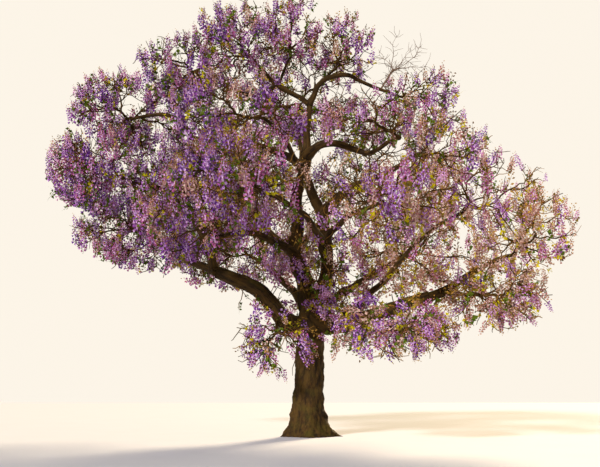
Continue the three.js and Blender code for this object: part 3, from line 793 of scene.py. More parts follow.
def spurs(points, count, root_thick, end_thick):
    lines = []
    axis = unit(points[-1] - points[0])
    for side in golden_sides(axis, count):
        root = along(points, rng.random())
        tip = root + unit(side + SPUR_AHEAD * axis) * rng.uniform(*SPUR_LENGTH)
        lines.append(crooked([root, tip], [root_thick, end_thick], 1))
    return lines


spur_lines = []
for space, (points, _) in live_lines:
    reach = np.linalg.norm(points[-1] - points[0])
    count = round(reach * SPURS_PER_METRE * fullness(points[-1])
                  * blend(LOW_SPURS, 1, level_of(points[-1])))
    bare = spurs(points, count, SPUR_ROOT, SPUR_END)
    spur_lines += [line for line in bare if space.holds(line[0]).all()]
for points, _ in list(dead_lines):
    count = round(np.linalg.norm(points[-1] - points[0]) * DEAD_SPURS)
    dead_lines += spurs(points, count, DEAD_SPUR_ROOT, DEAD_END)
print(len(spur_lines), "bare spurs and", len(dead_lines), "dead twigs")

# %% [markdown]
# ## Where flowers, husks and leaves stand
# A paulownia's flowers stand in candles, the panicles. High in the crown they stand up, and low
# in it they hang, bent by their own weight. Last year's seed husks stand in the place of some,
# and sprigs of young leaves in the place of others, which is nearly everywhere inside the
# crown. A spray's tip flowers most surely, and a gap spares more of the tips. A candle that
# only fits in its space when tried shorter is still drawn a little longer than that.

# %% Candles, husks and leaves
CANDLE_GAP = 0.22
CANDLE_LENGTH, LENGTH_REGAINED = (0.34, 0.56), 0.5
CANDLE_TRIES = SHORTER_TRIES[:-1]
HANGING, STANDING = -1.6, 2.2
OUTWARD, WAVER = 0.8, 0.22
LOW_GROWTH, LEADING = 1.15, 1.2
SKIN_KEPT = 0.95
KINDS = ("flowers", "husks", "leaves")
HIGH_KINDS = np.array([0.42, 0.32, 0.26])
LOW_KINDS = np.array([0.46, 0.18, 0.36])
INNER_KINDS = np.array([0.06, 0.50, 0.44])
TIP_FLOWERS, SUNNY_TIP_FLOWERS, TIP_LUCK = 0.9, 0.45, 0.5
CROWN_AXIS, CROWN_HALF = np.array([1.0, 2.0, 9.0]), np.array([8.0, 6.0, 6.0])
INNER_TO_OUTER = (0.32, 0.62)
borne = {kind: [] for kind in KINDS}


def outerness(point):
    out = np.linalg.norm((point - CROWN_AXIS) / CROWN_HALF)
    return float(np.interp(out, INNER_TO_OUTER, (0, 1)))


@dataclass
class Candle:
    side_spray: int
    root: np.ndarray
    heading: np.ndarray
    length: float


side_sprays += shoots
for i, (space, (points, _)) in enumerate(side_sprays):
    reach = np.linalg.norm(points[-1] - points[0])
    away = unit(points[-1] - points[0])
    count = max(1, round(reach / CANDLE_GAP))
    for j in range(count):
        at_tip = j == 0
        root = along(points, 1 - j / count)
        level = level_of(root)
        lean = OUTWARD * away + WAVER * rng.normal(size=3)
        heading = unit(lean + blend(HANGING, STANDING, level) * UP)
        outer = outerness(root)
        shares = blend(INNER_KINDS, blend(LOW_KINDS, HIGH_KINDS, level), outer)
        kind = rng.choice(KINDS, p=shares)
        tip_flowers = blend(TIP_FLOWERS, SUNNY_TIP_FLOWERS, sunniness(root))
        if at_tip and rng.random() < outer * tip_flowers:
            kind = "flowers"
        length, lucky = rng.uniform(*CANDLE_LENGTH), rng.random()
        length *= blend(LOW_GROWTH, LEADING if at_tip else 1, level)
        for shorter in CANDLE_TRIES:
            tip = root + heading * length * shorter
            if space is None or space.holds(space.middle + (tip - space.middle) / SKIN_KEPT)[0]:
                kept = share_kept((root + tip) / 2) ** (TIP_LUCK if at_tip else 1)
                if lucky < kept:
                    drawn = length * shorter ** LENGTH_REGAINED
                    borne[kind].append(Candle(i, root, heading, drawn))
                break
print("the side sprays bear", {kind: len(them) for kind, them in borne.items()})

# %% [markdown]
# ## Wood with relief
# Old paulownia bark is grey brown and cracks into long ridges. Each limb is a tube of rings,
# and each of its points is pushed in or out by the ridges that run along it and by lumps. A
# ridge is the crest of a sine wave round the limb that wanders as it climbs, and a furrow is
# the sharp valley between two.

# %% Ridges and tubes
WANDER, WANDER_PACE, WANDER_START, WANDER_TURNS = (0.2, 0.9), (1, 7), (0, 6), 4
SECOND_WANDER, SECOND_SWING, SECOND_PACE = 1.3, 1.9, 1.7
FIRST_RIDGE, SECOND_RIDGE, RIDGE_POWER = 0.6, 0.4, 0.7


def furrows(angle, climb, count, seed):
    draw = np.random.default_rng(seed)
    wander = 0
    for turns in range(WANDER_TURNS):
        size, pace = draw.uniform(*WANDER), draw.uniform(*WANDER_PACE)
        start = draw.uniform(*WANDER_START)
        wander = wander + size * np.sin(climb * pace + turns * angle + start)
    swing = SECOND_SWING * np.sin(SECOND_PACE * climb)
    first = np.abs(np.sin(count / 2 * angle + wander))
    second = np.abs(np.sin(count / 2 * angle - SECOND_WANDER * wander + swing))
    return FIRST_RIDGE * first ** RIDGE_POWER + SECOND_RIDGE * second ** RIDGE_POWER


def mesh_piece(name, points, faces, grain):
    mesh = bpy.data.meshes.new(name)
    mesh.from_pydata(points.tolist(), [], faces)
    attribute = mesh.attributes.new("grain", "FLOAT_VECTOR", "POINT")
    attribute.data.foreach_set("vector", grain.astype(np.float32).ravel())
    mesh.polygons.foreach_set("use_smooth", [True] * len(mesh.polygons))
    piece = bpy.data.objects.new(name, mesh)
    bpy.context.scene.collection.objects.link(piece)
    return piece


def tube_faces(rings, sides):
    def at(i, j):
        return i * sides + j % sides

    faces = [(at(i, j), at(i, j + 1), at(i + 1, j + 1), at(i + 1, j))
             for i in range(rings - 1) for j in range(sides)]
    faces += [(rings * sides, at(0, j + 1), at(0, j)) for j in range(sides)]
    return faces + [(rings * sides + 1, at(rings - 1, j), at(rings - 1, j + 1)) for j in range(sides)]


# %% The axes along a limb
NEARLY_UPRIGHT = 0.9


def axes_along(directions):
    upright = abs(directions[0] @ UP) > NEARLY_UPRIGHT
    across = EAST if upright else np.cross(directions[0], UP)
    pairs = []
    for direction in directions:
        over = unit(np.cross(direction, across))
        across = unit(np.cross(over, direction))
        pairs.append((across, over))
    return np.array([a for a, _ in pairs]), np.array([o for _, o in pairs])


# %% A limb's skin
FURROW_WIDTH, FEWEST_FURROWS = 0.11, 5
GRAIN_STRETCH = 0.22
SIDE_WIDTH, RING_STEP = 0.05, 0.065
FEWEST_SIDES = 8
RELIEF, RIDGE_MIDDLE, RIDGE_GAIN = 0.085, 0.62, 1.15
LUMPS, LUMP_SIZES = (0.5, 0.3), (0.5, 0.17)
ROUND_TIP = 0.6


def limb_piece(name, line, thick, seed, flat_foot=False):
    steps = np.linalg.norm(np.diff(line, axis=0), axis=1)
    climb = np.concatenate([[0], np.cumsum(steps)])
    directions = unit(np.gradient(line, axis=0))
    if flat_foot:
        directions[:] = UP
    across, over = axes_along(directions)
    sides = max(FEWEST_SIDES, round(2 * math.pi * thick.max() / SIDE_WIDTH))
    angle = np.arange(sides) * 2 * math.pi / sides
    ray = across[:, None] * np.cos(angle)[:, None] + over[:, None] * np.sin(angle)[:, None]
    radius = np.broadcast_to(thick[:, None], (len(line), sides))
    if flat_foot:
        radius = trunk_radius(line[:, 2], angle)
    skin = line[:, None] + ray * radius[..., None]
    count = max(FEWEST_FURROWS, round(2 * math.pi * float(np.median(thick)) / FURROW_WIDTH))
    ridge = furrows(angle[None], climb[:, None], count, seed) - RIDGE_MIDDLE
    lumps = sum(LUMPS[k] * swells(skin, LUMP_SIZES[k], seed + 1 + k) for k in (0, 1))
    grow_out = 1 + RELIEF * (RIDGE_GAIN * ridge + lumps)
    skin = line[:, None] + ray * (radius * grow_out)[..., None]
    grain = np.stack([radius * np.cos(angle), radius * np.sin(angle),
                      np.broadcast_to(GRAIN_STRETCH * climb[:, None], radius.shape)], axis=-1)
    foot, tip = line[0], line[-1] + directions[-1] * ROUND_TIP * thick[-1]
    points = np.vstack([skin.reshape(-1, 3), foot, tip])
    ends = np.array([[0, 0, 0], [0, 0, GRAIN_STRETCH * climb[-1]]])
    grain = np.vstack([grain.reshape(-1, 3), ends])
    return mesh_piece(name, points, tube_faces(len(line), sides), grain)


# %% [markdown]
# The trunk stands in five buttresses and closes in a low dome where the boughs part. Its own
# radius changes with the height and with the turn round its axis.

# %% The trunk
BUTTRESS_TURN = 0.7
TRUNK_STEP = 0.05
DOME, DOME_TOP, DOME_RINGS = 0.5, 0.98, 8


def trunk_radius(height, angle):
    climb = np.clip(height, 0, TRUNK_HEIGHT)[:, None]
    flare = np.exp(-climb / FLARE_HEIGHT)
    buttress = BUTTRESS * np.cos(BUTTRESSES * angle + BUTTRESS_TURN)
    column = blend(COLUMN, CROTCH, climb / TRUNK_HEIGHT)
    over = np.clip((height[:, None] - TRUNK_HEIGHT) / (DOME * CROTCH), 0, DOME_TOP)
    spread_out = FLARE + buttress + SPREAD_RIGHT * np.cos(angle)
    return (column + flare * spread_out) * np.sqrt(1 - over ** 2)


dome = TRUNK_HEIGHT + DOME * CROTCH * np.linspace(0, DOME_TOP, DOME_RINGS)
heights = np.concatenate([np.arange(0, TRUNK_HEIGHT, TRUNK_STEP), dome])
column = bezier(trunk_line, np.clip(heights / TRUNK_HEIGHT, 0, 1))
column[:, 2] = heights
girth = np.full(len(column), COLUMN + FLARE / 2)
wood = {"trunk": limb_piece("bark_trunk", column, girth, seed=1, flat_foot=True)}

# %% [markdown]
# A limb that carries on from its parent's tip swells there to its parent's thickness, so no
# step shows. It also runs on into the stem of the cloud it bears, as the real one does.

# %% The boughs
FIRST_BARK_SEED, SEEDS_APART = 200, 10
FEWEST_RINGS, STEM_RINGS = 6, 14
SWELL_LENGTH, STEM_SWELL = 1.2, 3
BOW, BOW_SIZE, BOW_SEEDS, MOST_BOW, STRAIGHT_SHARE = 0.35, 1.6, (5, 6, 7), 1.2, 1 / 8
stems = {space.name: space.stem for space in spaces if CLOUDS[space.name].at == 1}


def bow(line):
    pushes = np.stack([swells(line, BOW_SIZE, seed) for seed in BOW_SEEDS], axis=-1)
    return np.clip(pushes, -MOST_BOW, MOST_BOW)


for k, (name, limb) in enumerate(LIMBS.items()):
    branch, parent = branches[name], branches[limb.parent]
    shares = np.linspace(0, 1, max(FEWEST_RINGS, math.ceil(branch.length / RING_STEP)))
    line, thick = bezier(branch.knots, shares), branch.thick(shares)
    if limb.at == 1:
        wide = float(parent.thick(1))
        step = max(0, wide - branch.root)
        thick = thick + step * np.exp(-shares * branch.length / (SWELL_LENGTH * wide))
    if name in stems:
        stem = stems[name]
        more = np.linspace(0, 1, STEM_RINGS)[1:]
        line = np.vstack([line, bezier(stem.knots, more)])
        settling = np.exp(-more * stem.length / branch.tip / STEM_SWELL)
        thick = np.concatenate([thick, stem.thick(more) + (branch.tip - stem.root) * settling])
    fade = np.minimum(1, np.linspace(0, len(line) * STRAIGHT_SHARE, len(line)))[:, None]
    line = line + fade * BOW * thick[:, None] * bow(line)
    wood[name] = limb_piece("bark_" + name, line, thick, FIRST_BARK_SEED + SEEDS_APART * k)
print("bark pieces", len(wood), "with", sum(len(w.data.polygons) for w in wood.values()), "faces")

# %% [markdown]
# ## Nodes written as Python
# Both materials and Geometry Nodes are node trees. A small class wraps a socket, so that sums
# and products of sockets read as plain expressions, and a second one makes any node from its
# type, its settings and the values or links of its sockets.

# %% Sockets with operators
def maths(operation, *terms):
    tree = next(term.tree for term in terms if isinstance(term, Value))
    return tree.node("ShaderNodeMath", {"operation": operation}, dict(enumerate(terms)))


class Value:
    def __init__(self, tree, socket):
        self.tree, self.socket = tree, socket

    def __add__(self, other):
        return maths("ADD", self, other)

    def __sub__(self, other):
        return maths("SUBTRACT", self, other)

    def __rsub__(self, other):
        return maths("SUBTRACT", other, self)

    def __mul__(self, other):
        return maths("MULTIPLY", self, other)

    def __truediv__(self, other):
        return maths("DIVIDE", self, other)

    __radd__, __rmul__ = __add__, __mul__


class Tree:
    def __init__(self, nodes):
        self.nodes = nodes

    def node(self, kind, settings=None, inputs=None, output=0):
        node = self.nodes.nodes.new(kind)
        for name, setting in (settings or {}).items():
            setattr(node, name, setting)
        for key, value in (inputs or {}).items():
            socket = self.socket(node.inputs, key)
            values = value if isinstance(value, list) else [value]
            for one in values:
                if isinstance(one, Value):
                    self.nodes.links.new(one.socket, socket)
                else:
                    socket.default_value = one
        return Value(self, self.socket(node.outputs, output)) if node.outputs else None

    def socket(self, sockets, key):
        if isinstance(key, int):
            return sockets[key]
        return next((s for s in sockets if s.identifier == key), None) or sockets[key]


# %% [markdown]
# ## Growing meshes with Geometry Nodes
# A tree of nodes is made once, with named inputs. A carrier object holds the points that it
# works on, the inputs are set by their identifiers, and the evaluated result is then kept as a
# plain mesh, because the export drops live instances.

# %% Growing a plain mesh
SOCKETS = {float: "NodeSocketFloat", int: "NodeSocketInt", "material": "NodeSocketMaterial",
           "collection": "NodeSocketCollection", "object": "NodeSocketObject"}


def growth(name, **inputs):
    nodes = bpy.data.node_groups.new(name, "GeometryNodeTree")
    nodes.interface.new_socket("Geometry", in_out="INPUT", socket_type="NodeSocketGeometry")
    nodes.interface.new_socket("Geometry", in_out="OUTPUT", socket_type="NodeSocketGeometry")
    for label, kind in inputs.items():
        nodes.interface.new_socket(label, in_out="INPUT", socket_type=SOCKETS[kind])
    tree = Tree(nodes)
    entry = nodes.nodes.new("NodeGroupInput")
    return tree, {s.name: Value(tree, s) for s in entry.outputs if s.name}


def end_growth(tree, geometry, **materials):
    shown = tree.node("GeometryNodeRealizeInstances", None, {"Geometry": geometry})
    for part, finish in materials.items():
        inputs = {"Geometry": shown, "Material": finish}
        if part != "all_faces":
            inputs["Selection"] = tree.node("GeometryNodeInputNamedAttribute", {"data_type": "BOOLEAN"},
                                            {"Name": part}, "Attribute")
        shown = tree.node("GeometryNodeSetMaterial", None, inputs)
    tree.node("NodeGroupOutput", None, {0: shown})


def grown(name, tree, mesh, **inputs):
    piece = bpy.data.objects.new(name, mesh)
    bpy.context.scene.collection.objects.link(piece)
    modifier = piece.modifiers.new("growth", "NODES")
    modifier.node_group = tree.nodes
    for item in tree.nodes.interface.items_tree:
        if item.name in inputs:
            modifier[item.identifier] = inputs[item.name]
    evaluated = piece.evaluated_get(bpy.context.evaluated_depsgraph_get())
    plain = bpy.data.meshes.new_from_object(evaluated)
    piece.modifiers.remove(modifier)
    piece.data = plain
    return piece


def point_mesh(name, points, edges=(), **values):
    mesh = bpy.data.meshes.new(name)
    mesh.from_pydata(np.asarray(points).tolist(), list(edges), [])
    for label, column in values.items():
        column = np.asarray(column)
        whole = column.dtype.kind == "i"
        kind, field = "INT" if whole else "FLOAT", "value"
        if column.ndim == 2:
            kind, field = "FLOAT_VECTOR", "vector"
        numbers = column.astype(np.int32 if whole else np.float32).ravel()
        mesh.attributes.new(label, kind, "POINT").data.foreach_set(field, numbers)
    return mesh


# %% [markdown]
# ## Finishes
# Bark is grey brown on its ridges and nearly black in its furrows, with an olive bloom of
# moss where a low limb looks up. The noise is read on a coordinate that runs along each limb,
# so the pattern is drawn out with the grain of the wood. Twigs and dead wood have the same
# bark in other colours, and so do twigs in the sun, whose golden bark is painted sunlight.

# %% Bark
def material(name):
    finish = bpy.data.materials.new(name)
    finish.use_nodes = True
    finish.node_tree.nodes.clear()
    return finish, Tree(finish.node_tree)


def noise(tree, vector, scale, detail=4.0, roughness=0.6):
    return tree.node("ShaderNodeTexNoise", None,
                     {"Vector": vector, "Scale": scale, "Detail": detail, "Roughness": roughness})


def ramp(tree, value, low, high):
    return tree.node("ShaderNodeMapRange", {"clamp": True},
                     {"Value": value, "From Min": low, "From Max": high})


def mix(tree, factor, a, b):
    return tree.node("ShaderNodeMix", {"data_type": "RGBA"},
                     {"Factor_Float": factor, "A_Color": a, "B_Color": b}, "Result_Color")


def bump(tree, height, distance, strength=1.0):
    return tree.node("ShaderNodeBump", None,
                     {"Height": height, "Distance": distance, "Strength": strength})


def show(tree, shader):
    tree.node("ShaderNodeOutputMaterial", None, {"Surface": shader})


MOSS_FADES, MOSS_LOST = (4.5, 8), 0.8
MOSS_LOOKS_UP, MOSS_PATCHES = (-0.1, 0.8), (0.42, 0.6)
PLATES, CRACKS, PATCHES = 9.0, 34.0, 2.3
PLATE_EDGES, CRACK_EDGES, CRACKS_SHOWN = (0.38, 0.62), (0.52, 0.75), 0.55
BARK_DEPTH = 0.02


def wood_finish(name, furrow, ridge, pale, moss, most_moss):
    finish, tree = material(name)
    grain = tree.node("ShaderNodeAttribute", {"attribute_name": "grain"}, None, "Vector")
    plates = noise(tree, grain, PLATES)
    cracks = noise(tree, grain, CRACKS, detail=5.0, roughness=0.7)
    tone = mix(tree, ramp(tree, plates, *PLATE_EDGES), furrow, ridge)
    tone = mix(tree, ramp(tree, cracks, *CRACK_EDGES) * CRACKS_SHOWN, tone, pale)
    normal = tree.node("ShaderNodeNewGeometry", None, None, "Normal")
    up = tree.node("ShaderNodeSeparateXYZ", None, {0: normal}, "Z")
    where = tree.node("ShaderNodeTexCoord", None, None, "Object")
    patches = ramp(tree, noise(tree, where, PATCHES), *MOSS_PATCHES)
    climb = tree.node("ShaderNodeSeparateXYZ", None, {0: where}, "Z")
    damp = 1 - MOSS_LOST * ramp(tree, climb, *MOSS_FADES)
    mossy = ramp(tree, up, *MOSS_LOOKS_UP) * patches * damp * most_moss
    tone = mix(tree, mossy, tone, moss)
    height = plates * 0.6 + cracks * 0.4
    shader = tree.node("ShaderNodeBsdfPrincipled", None, {
        "Base Color": tone,
        "Roughness": 0.82 + 0.16 * cracks,
        "Normal": bump(tree, height, BARK_DEPTH),
        "Specular IOR Level": 0.25,
    })
    show(tree, shader)
    return finish


bark = wood_finish("bark", most_moss=0.75,
                   furrow=(0.014, 0.007, 0.0015, 1), ridge=(0.060, 0.033, 0.006, 1),
                   pale=(0.135, 0.082, 0.020, 1), moss=(0.064, 0.054, 0.006, 1))
twig_bark = wood_finish("twig_bark", most_moss=0.4,
                        furrow=(0.03, 0.014, 0.002, 1), ridge=(0.085, 0.044, 0.006, 1),
                        pale=(0.17, 0.095, 0.018, 1), moss=(0.08, 0.07, 0.006, 1))
# A golden copy of the twig bark for twigs the low sun reaches: painted sunlight.
shoot_bark = wood_finish("shoot_bark", most_moss=0.3,
                         furrow=(0.12, 0.058, 0.010, 1), ridge=(0.30, 0.16, 0.03, 1),
                         pale=(0.46, 0.28, 0.07, 1), moss=(0.20, 0.16, 0.02, 1))
dead_bark = wood_finish("dead_bark", most_moss=0.2,
                        furrow=(0.11, 0.075, 0.055, 1), ridge=(0.22, 0.16, 0.12, 1),
                        pale=(0.36, 0.28, 0.22, 1), moss=(0.18, 0.15, 0.10, 1))
for name, piece in wood.items():
    piece.data.materials.append(bark)
    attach(piece, "root")
    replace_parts(piece, "trunk" if name == "trunk" else "bough_" + name)
print(len(wood), "pieces of bark")

# %% [markdown]
# A petal is thin, so the light behind it comes through. Part of each petal's shader is
# Translucent for that, and husks and leaves share it. A tree flowers in many tints at once:
# fresh flowers are violet, older ones lavender, mauve or pale. Rose and dusk are painted
# sunlight: the warm glow of flowers that the low sun shines through. Each tint is one plain colour.

# %% Petals, stalks and leaves
VEINS, VEIN_DEPTH, VEIN_STRENGTH = 90.0, 0.004, 0.6


def petal_finish(name, colour, through=0.35, rough=0.6):
    finish, tree = material(name)
    where = tree.node("ShaderNodeTexCoord", None, None, "Object")
    veins = noise(tree, where, VEINS, detail=2.0)
    normal = bump(tree, veins, VEIN_DEPTH, VEIN_STRENGTH)
    front = tree.node("ShaderNodeBsdfPrincipled", None, {
        "Base Color": colour,
        "Roughness": rough - 0.1 + 0.2 * veins,
        "Normal": normal,
        "Specular IOR Level": 0.15,
    })
    back = tree.node("ShaderNodeBsdfTranslucent", None, {"Color": colour, "Normal": normal})
    show(tree, tree.node("ShaderNodeMixShader", None, {0: through, 1: front, 2: back}))
    return finish


TINTS = {
    "violet": (0.23, 0.065, 0.45, 1),
    "lavender": (0.40, 0.14, 0.56, 1),
    "mauve": (0.52, 0.16, 0.41, 1),
    "pale": (0.76, 0.46, 0.70, 1),
    # Rose and dusk are painted sunlight glowing through the petals.
    "rose": (0.48, 0.25, 0.26, 1),
    "dusk": (0.48, 0.31, 0.23, 1),
}
petals = {name: petal_finish("petals_" + name, colour) for name, colour in TINTS.items()}
stalk_finish = petal_finish("calyx_velvet", (0.50, 0.28, 0.05, 1), through=0.3, rough=0.9)
# Husks come in two copies: a dark one, painted shade, and a golden one, painted sunlight.
husk_finishes = {
    "shaded": petal_finish("shaded_husk", (0.13, 0.062, 0.010, 1), through=0.1, rough=0.8),
    "sunny": petal_finish("sunny_husk", (0.50, 0.31, 0.06, 1), through=0.3, rough=0.8),
}
# The bright yellow leaf is partly a young leaf's own tint and partly painted sunlight coming through
# it.
leaf_finishes = {
    "fresh_leaf": petal_finish("fresh_leaf", (0.16, 0.245, 0.02, 1), through=0.55, rough=0.5),
    "young_leaf": petal_finish("young_leaf", (0.66, 0.62, 0.02, 1), through=0.55, rough=0.5),
    "bronze_leaf": petal_finish("bronze_leaf", (0.20, 0.15, 0.012, 1), through=0.4, rough=0.5),
}
print(len(petals), "tints of petal")

# %% [markdown]
# ## Twigs as tubes
# Each twig is a line of edges that carries its thickness. The nodes turn the edges into
# curves and sweep a small circle along them, which the thickness scales. Side sprays and spurs
# in the sun get a golden bark, which is painted sunlight, and those in the shade the plain dark bark.

# %% The twigs
sweep, entry = growth("sweep", Material="material", Sides=int)
curve = sweep.node("GeometryNodeMeshToCurve", None, {0: entry["Geometry"]})
ring = sweep.node("GeometryNodeCurvePrimitiveCircle", None,
                  {"Resolution": entry["Sides"], "Radius": 1.0})
thick = sweep.node("GeometryNodeInputNamedAttribute", {"data_type": "FLOAT"},
                   {"Name": "thick"}, "Attribute")
tube = sweep.node("GeometryNodeCurveToMesh", None,
                  {"Curve": curve, "Profile Curve": ring, "Scale": thick, "Fill Caps": True})
end_growth(sweep, tube, all_faces=entry["Material"])


def twig_piece(name, lines, sides, finish):
    points = np.vstack([p for p, _ in lines])
    starts = np.cumsum([0] + [len(p) for p, _ in lines[:-1]])
    edges = [(s + i, s + i + 1) for s, (p, _) in zip(starts, lines) for i in range(len(p) - 1)]
    mesh = point_mesh(name, points, edges, thick=np.concatenate([r for _, r in lines]))
    piece = grown(name, sweep, mesh, Material=finish, Sides=sides)
    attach(piece, "root")
    print(name, len(piece.data.polygons), "faces")
    return piece


TWIG_SIDES, FINE_SIDES, DEAD_RINGS = 5, 3, 8
# Twigs that the sun reaches get the golden bark, painted sunlight; the rest keep the plain dark twig
# bark.
BARKS = ((False, "shaded_", twig_bark), (True, "sunny_", shoot_bark))
live_spaces = [s for s in spaces if not s.bare]
blossom_nodes = ["blossom_" + s.name for s in live_spaces]
live_twigs = [line for _, line in live_lines]
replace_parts(twig_piece("twigs", live_twigs, TWIG_SIDES, twig_bark), *blossom_nodes)
for name, lines in (("side_sprays", [line for _, line in side_sprays]), ("spurs", spur_lines)):
    sunny = [in_sun(points[0]) for points, _ in lines]
    for lit, label, finish in BARKS:
        chosen = [line for line, lit_by_sun in zip(lines, sunny) if lit_by_sun == lit]
        piece = twig_piece(label + name, chosen, FINE_SIDES, finish)
        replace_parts(piece, *blossom_nodes)
dead_stem = next(s.stem for s in spaces if s.bare)
shares = np.linspace(0, 1, DEAD_RINGS)
dead_lines.append(crooked(bezier(dead_stem.knots, shares), dead_stem.thick(shares), 0))
dead_wood = twig_piece("dead_branch", dead_lines, TWIG_SIDES, dead_bark)
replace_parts(dead_wood, "dead_twigs")

# %% [markdown]
# ## One flower, one candle
# A paulownia's flower is a bell that opens to a wide mouth. Hundreds of thousands of faces add
# up quickly, so a bell here has eight: four outside, and four that close its throat. A candle
# is wound from bells by nodes, widest near the foot, and buds stand at its tip.

# %% Small shapes
def fan_shape(name, rim, foot, heart):
    count = len(rim)
    points = [foot, heart, *rim]
    faces = [(0, 2 + (j + 1) % count, 2 + j) for j in range(count)]
    faces += [(1, 2 + j, 2 + (j + 1) % count) for j in range(count)]
    mesh = bpy.data.meshes.new(name)
    mesh.from_pydata(points, [], faces)
    inner = mesh.attributes.new("throat", "BOOLEAN", "FACE")
    inner.data.foreach_set("value", [False] * count + [True] * count)
    shape = bpy.data.objects.new(name, mesh)
    bpy.context.scene.collection.objects.link(shape)
    return shape


def round_rim(corners, radius, level):
    turns = [2 * math.pi * j / corners for j in range(corners)]
    return [(radius * math.cos(t), radius * math.sin(t), level) for t in turns]


MOUTH = round_rim(corners=4, radius=0.5, level=0.95)
BUD_WAIST = round_rim(corners=3, radius=0.3, level=0.55)
LEAF_RIM = [(0, 0.05, 0), (0.44, 0.3, 0.12), (0, 1.1, -0.12), (-0.44, 0.3, 0.12)]
bell = fan_shape("bell", MOUTH, foot=(0, 0, 0), heart=(0, 0, 0.6))
bud = fan_shape("bud", BUD_WAIST, foot=(0, 0, 0), heart=(0, 0, 1))
leaf = fan_shape("leaf", LEAF_RIM, foot=(0, 0.45, -0.03), heart=(0, 0.45, 0.03))
small_shapes = [bell, bud, leaf]

# %% Winding shapes round a stalk
TURN_WAVER, TILT_WAVER = 0.4, 0.45
SIZE_RANGE, SIZE_TAPER = (0.85, 1.15), 0.5
wind, entry = growth("wind", Shape="object", Count=int, Length=float, First=float, Width=float,
                     Taper=float, Size=float, Tilt=float, Seed=int)


def between(tree, low, high, seed):
    return tree.node("FunctionNodeRandomValue", {"data_type": "FLOAT"},
                     {"Min_001": low, "Max_001": high, "Seed": seed}, "Value_001")


index = wind.node("GeometryNodeInputIndex")
share = (index + 0.5) / entry["Count"]
level = entry["First"] + (1 - entry["First"]) * share
turn = index * GOLDEN_ANGLE + between(wind, -TURN_WAVER, TURN_WAVER, entry["Seed"])
east, north = maths("COSINE", turn), maths("SINE", turn)
radius = entry["Width"] * (1 - entry["Taper"] * level)
position = wind.node("ShaderNodeCombineXYZ", None,
                     {0: east * radius, 1: north * radius, 2: level * entry["Length"]})
lean = entry["Tilt"] + between(wind, -TILT_WAVER, TILT_WAVER, entry["Seed"] + 1)
heading = wind.node("ShaderNodeCombineXYZ", None, {0: east, 1: north, 2: lean})
stations = wind.node("GeometryNodePoints", None, {"Count": entry["Count"], "Position": position})
facing = wind.node("FunctionNodeAlignRotationToVector", {"axis": "Z"}, {"Vector": heading})
size = entry["Size"] * (1 - SIZE_TAPER * entry["Taper"] * level)
size = size * between(wind, *SIZE_RANGE, entry["Seed"] + 2)
shape = wind.node("GeometryNodeObjectInfo", None, {"Object": entry["Shape"]}, "Geometry")
wound = wind.node("GeometryNodeInstanceOnPoints", None,
                  {"Points": stations, "Instance": shape, "Rotation": facing, "Scale": size})
both = wind.node("GeometryNodeJoinGeometry", None, {0: [wound, entry["Geometry"]]})
end_growth(wind, both)

# %% [markdown]
# The same tree of nodes winds four sets: candles of bells, the buds at their tips, seed husks
# and sprigs of young leaves. A set is a collection of four shapes, two for where it stands and
# two for where it hangs. A hanging candle's bells are turned the other way, so that they nod.

# %% Candles, stalks, husks and sprigs
CANDLE = 0.5
VARIANTS = 4
STALK_BULGE, STALK_SUNK = 0.2, 0.02


def stalk_mesh(name, length, radius):
    rim = round_rim(corners=3, radius=radius, level=STALK_BULGE * length)
    shape = fan_shape(name, rim, foot=(0, 0, -STALK_SUNK), heart=(0, 0, length))
    small_shapes.append(shape)
    return shape.data.copy()


def wound_set(name, shape, count, stalk, length, tilt, nods=False, **sizes):
    group = bpy.data.collections.new(name)
    for k in range(VARIANTS):
        label = name + "_" + str(k)
        turned = nods and k >= VARIANTS // 2
        piece = grown(label, wind, stalk_mesh(label + "_stalk", CANDLE, stalk), Shape=shape,
                      Count=count + (k % 2), Length=length, Tilt=-tilt if turned else tilt,
                      Seed=SEEDS_APART * k, **sizes)
        group.objects.link(piece)
        small_shapes.append(piece)
    print(name, "has", len(piece.data.polygons), "faces")
    return group


candle_set = wound_set("candle", bell, count=18, stalk=0.018, length=0.48, tilt=-0.4,
                       nods=True, First=0.04, Width=0.055, Taper=0.75, Size=0.086)
stalk_set = wound_set("stalk", bud, count=5, stalk=0.010, length=0.58, tilt=1.2,
                      First=0.45, Width=0.05, Taper=0.9, Size=0.09)
husk_set = wound_set("husk", bud, count=7, stalk=0.009, length=CANDLE, tilt=0.6,
                     First=0.15, Width=0.07, Taper=0.6, Size=0.12)
sprig_set = wound_set("sprig", leaf, count=5, stalk=0.008, length=0.3, tilt=0.3,
                      First=0.05, Width=0.05, Taper=0.5, Size=0.135)

# %% [markdown]
# ## Spread over the crown
# The last tree of nodes stands a shape on each point, turned to the point's heading and spun
# about it. What each point needs is worked out in NumPy and stored on it: its heading, spin,
# size, and which of the four shapes it takes, one of the second two where it hangs.

# %% The spreading tree
spread, entry = growth("spread", Shapes="collection", Material="material", Throat="material")


def stored(label, kind, output="Attribute"):
    return spread.node("GeometryNodeInputNamedAttribute", {"data_type": kind}, {"Name": label}, output)


facing = spread.node("FunctionNodeAlignRotationToVector", {"axis": "Z"},
                     {"Vector": stored("heading", "FLOAT_VECTOR")})
spin = spread.node("FunctionNodeAxisAngleToRotation", None,
                   {"Axis": (0, 0, 1), "Angle": stored("spin", "FLOAT")})
facing = spread.node("FunctionNodeRotateRotation", {"rotation_space": "LOCAL"},
                     {"Rotation": facing, "Rotate By": spin})
shapes = spread.node("GeometryNodeCollectionInfo", None,
                     {"Collection": entry["Shapes"], "Separate Children": True, "Reset Children": True})
stood = spread.node("GeometryNodeInstanceOnPoints", None, {
    "Points": entry["Geometry"],
    "Instance": shapes,
    "Pick Instance": True,
    "Instance Index": stored("kind", "INT"),
    "Rotation": facing,
    "Scale": stored("size", "FLOAT"),
})
end_growth(spread, stood, all_faces=entry["Material"], throat=entry["Throat"])


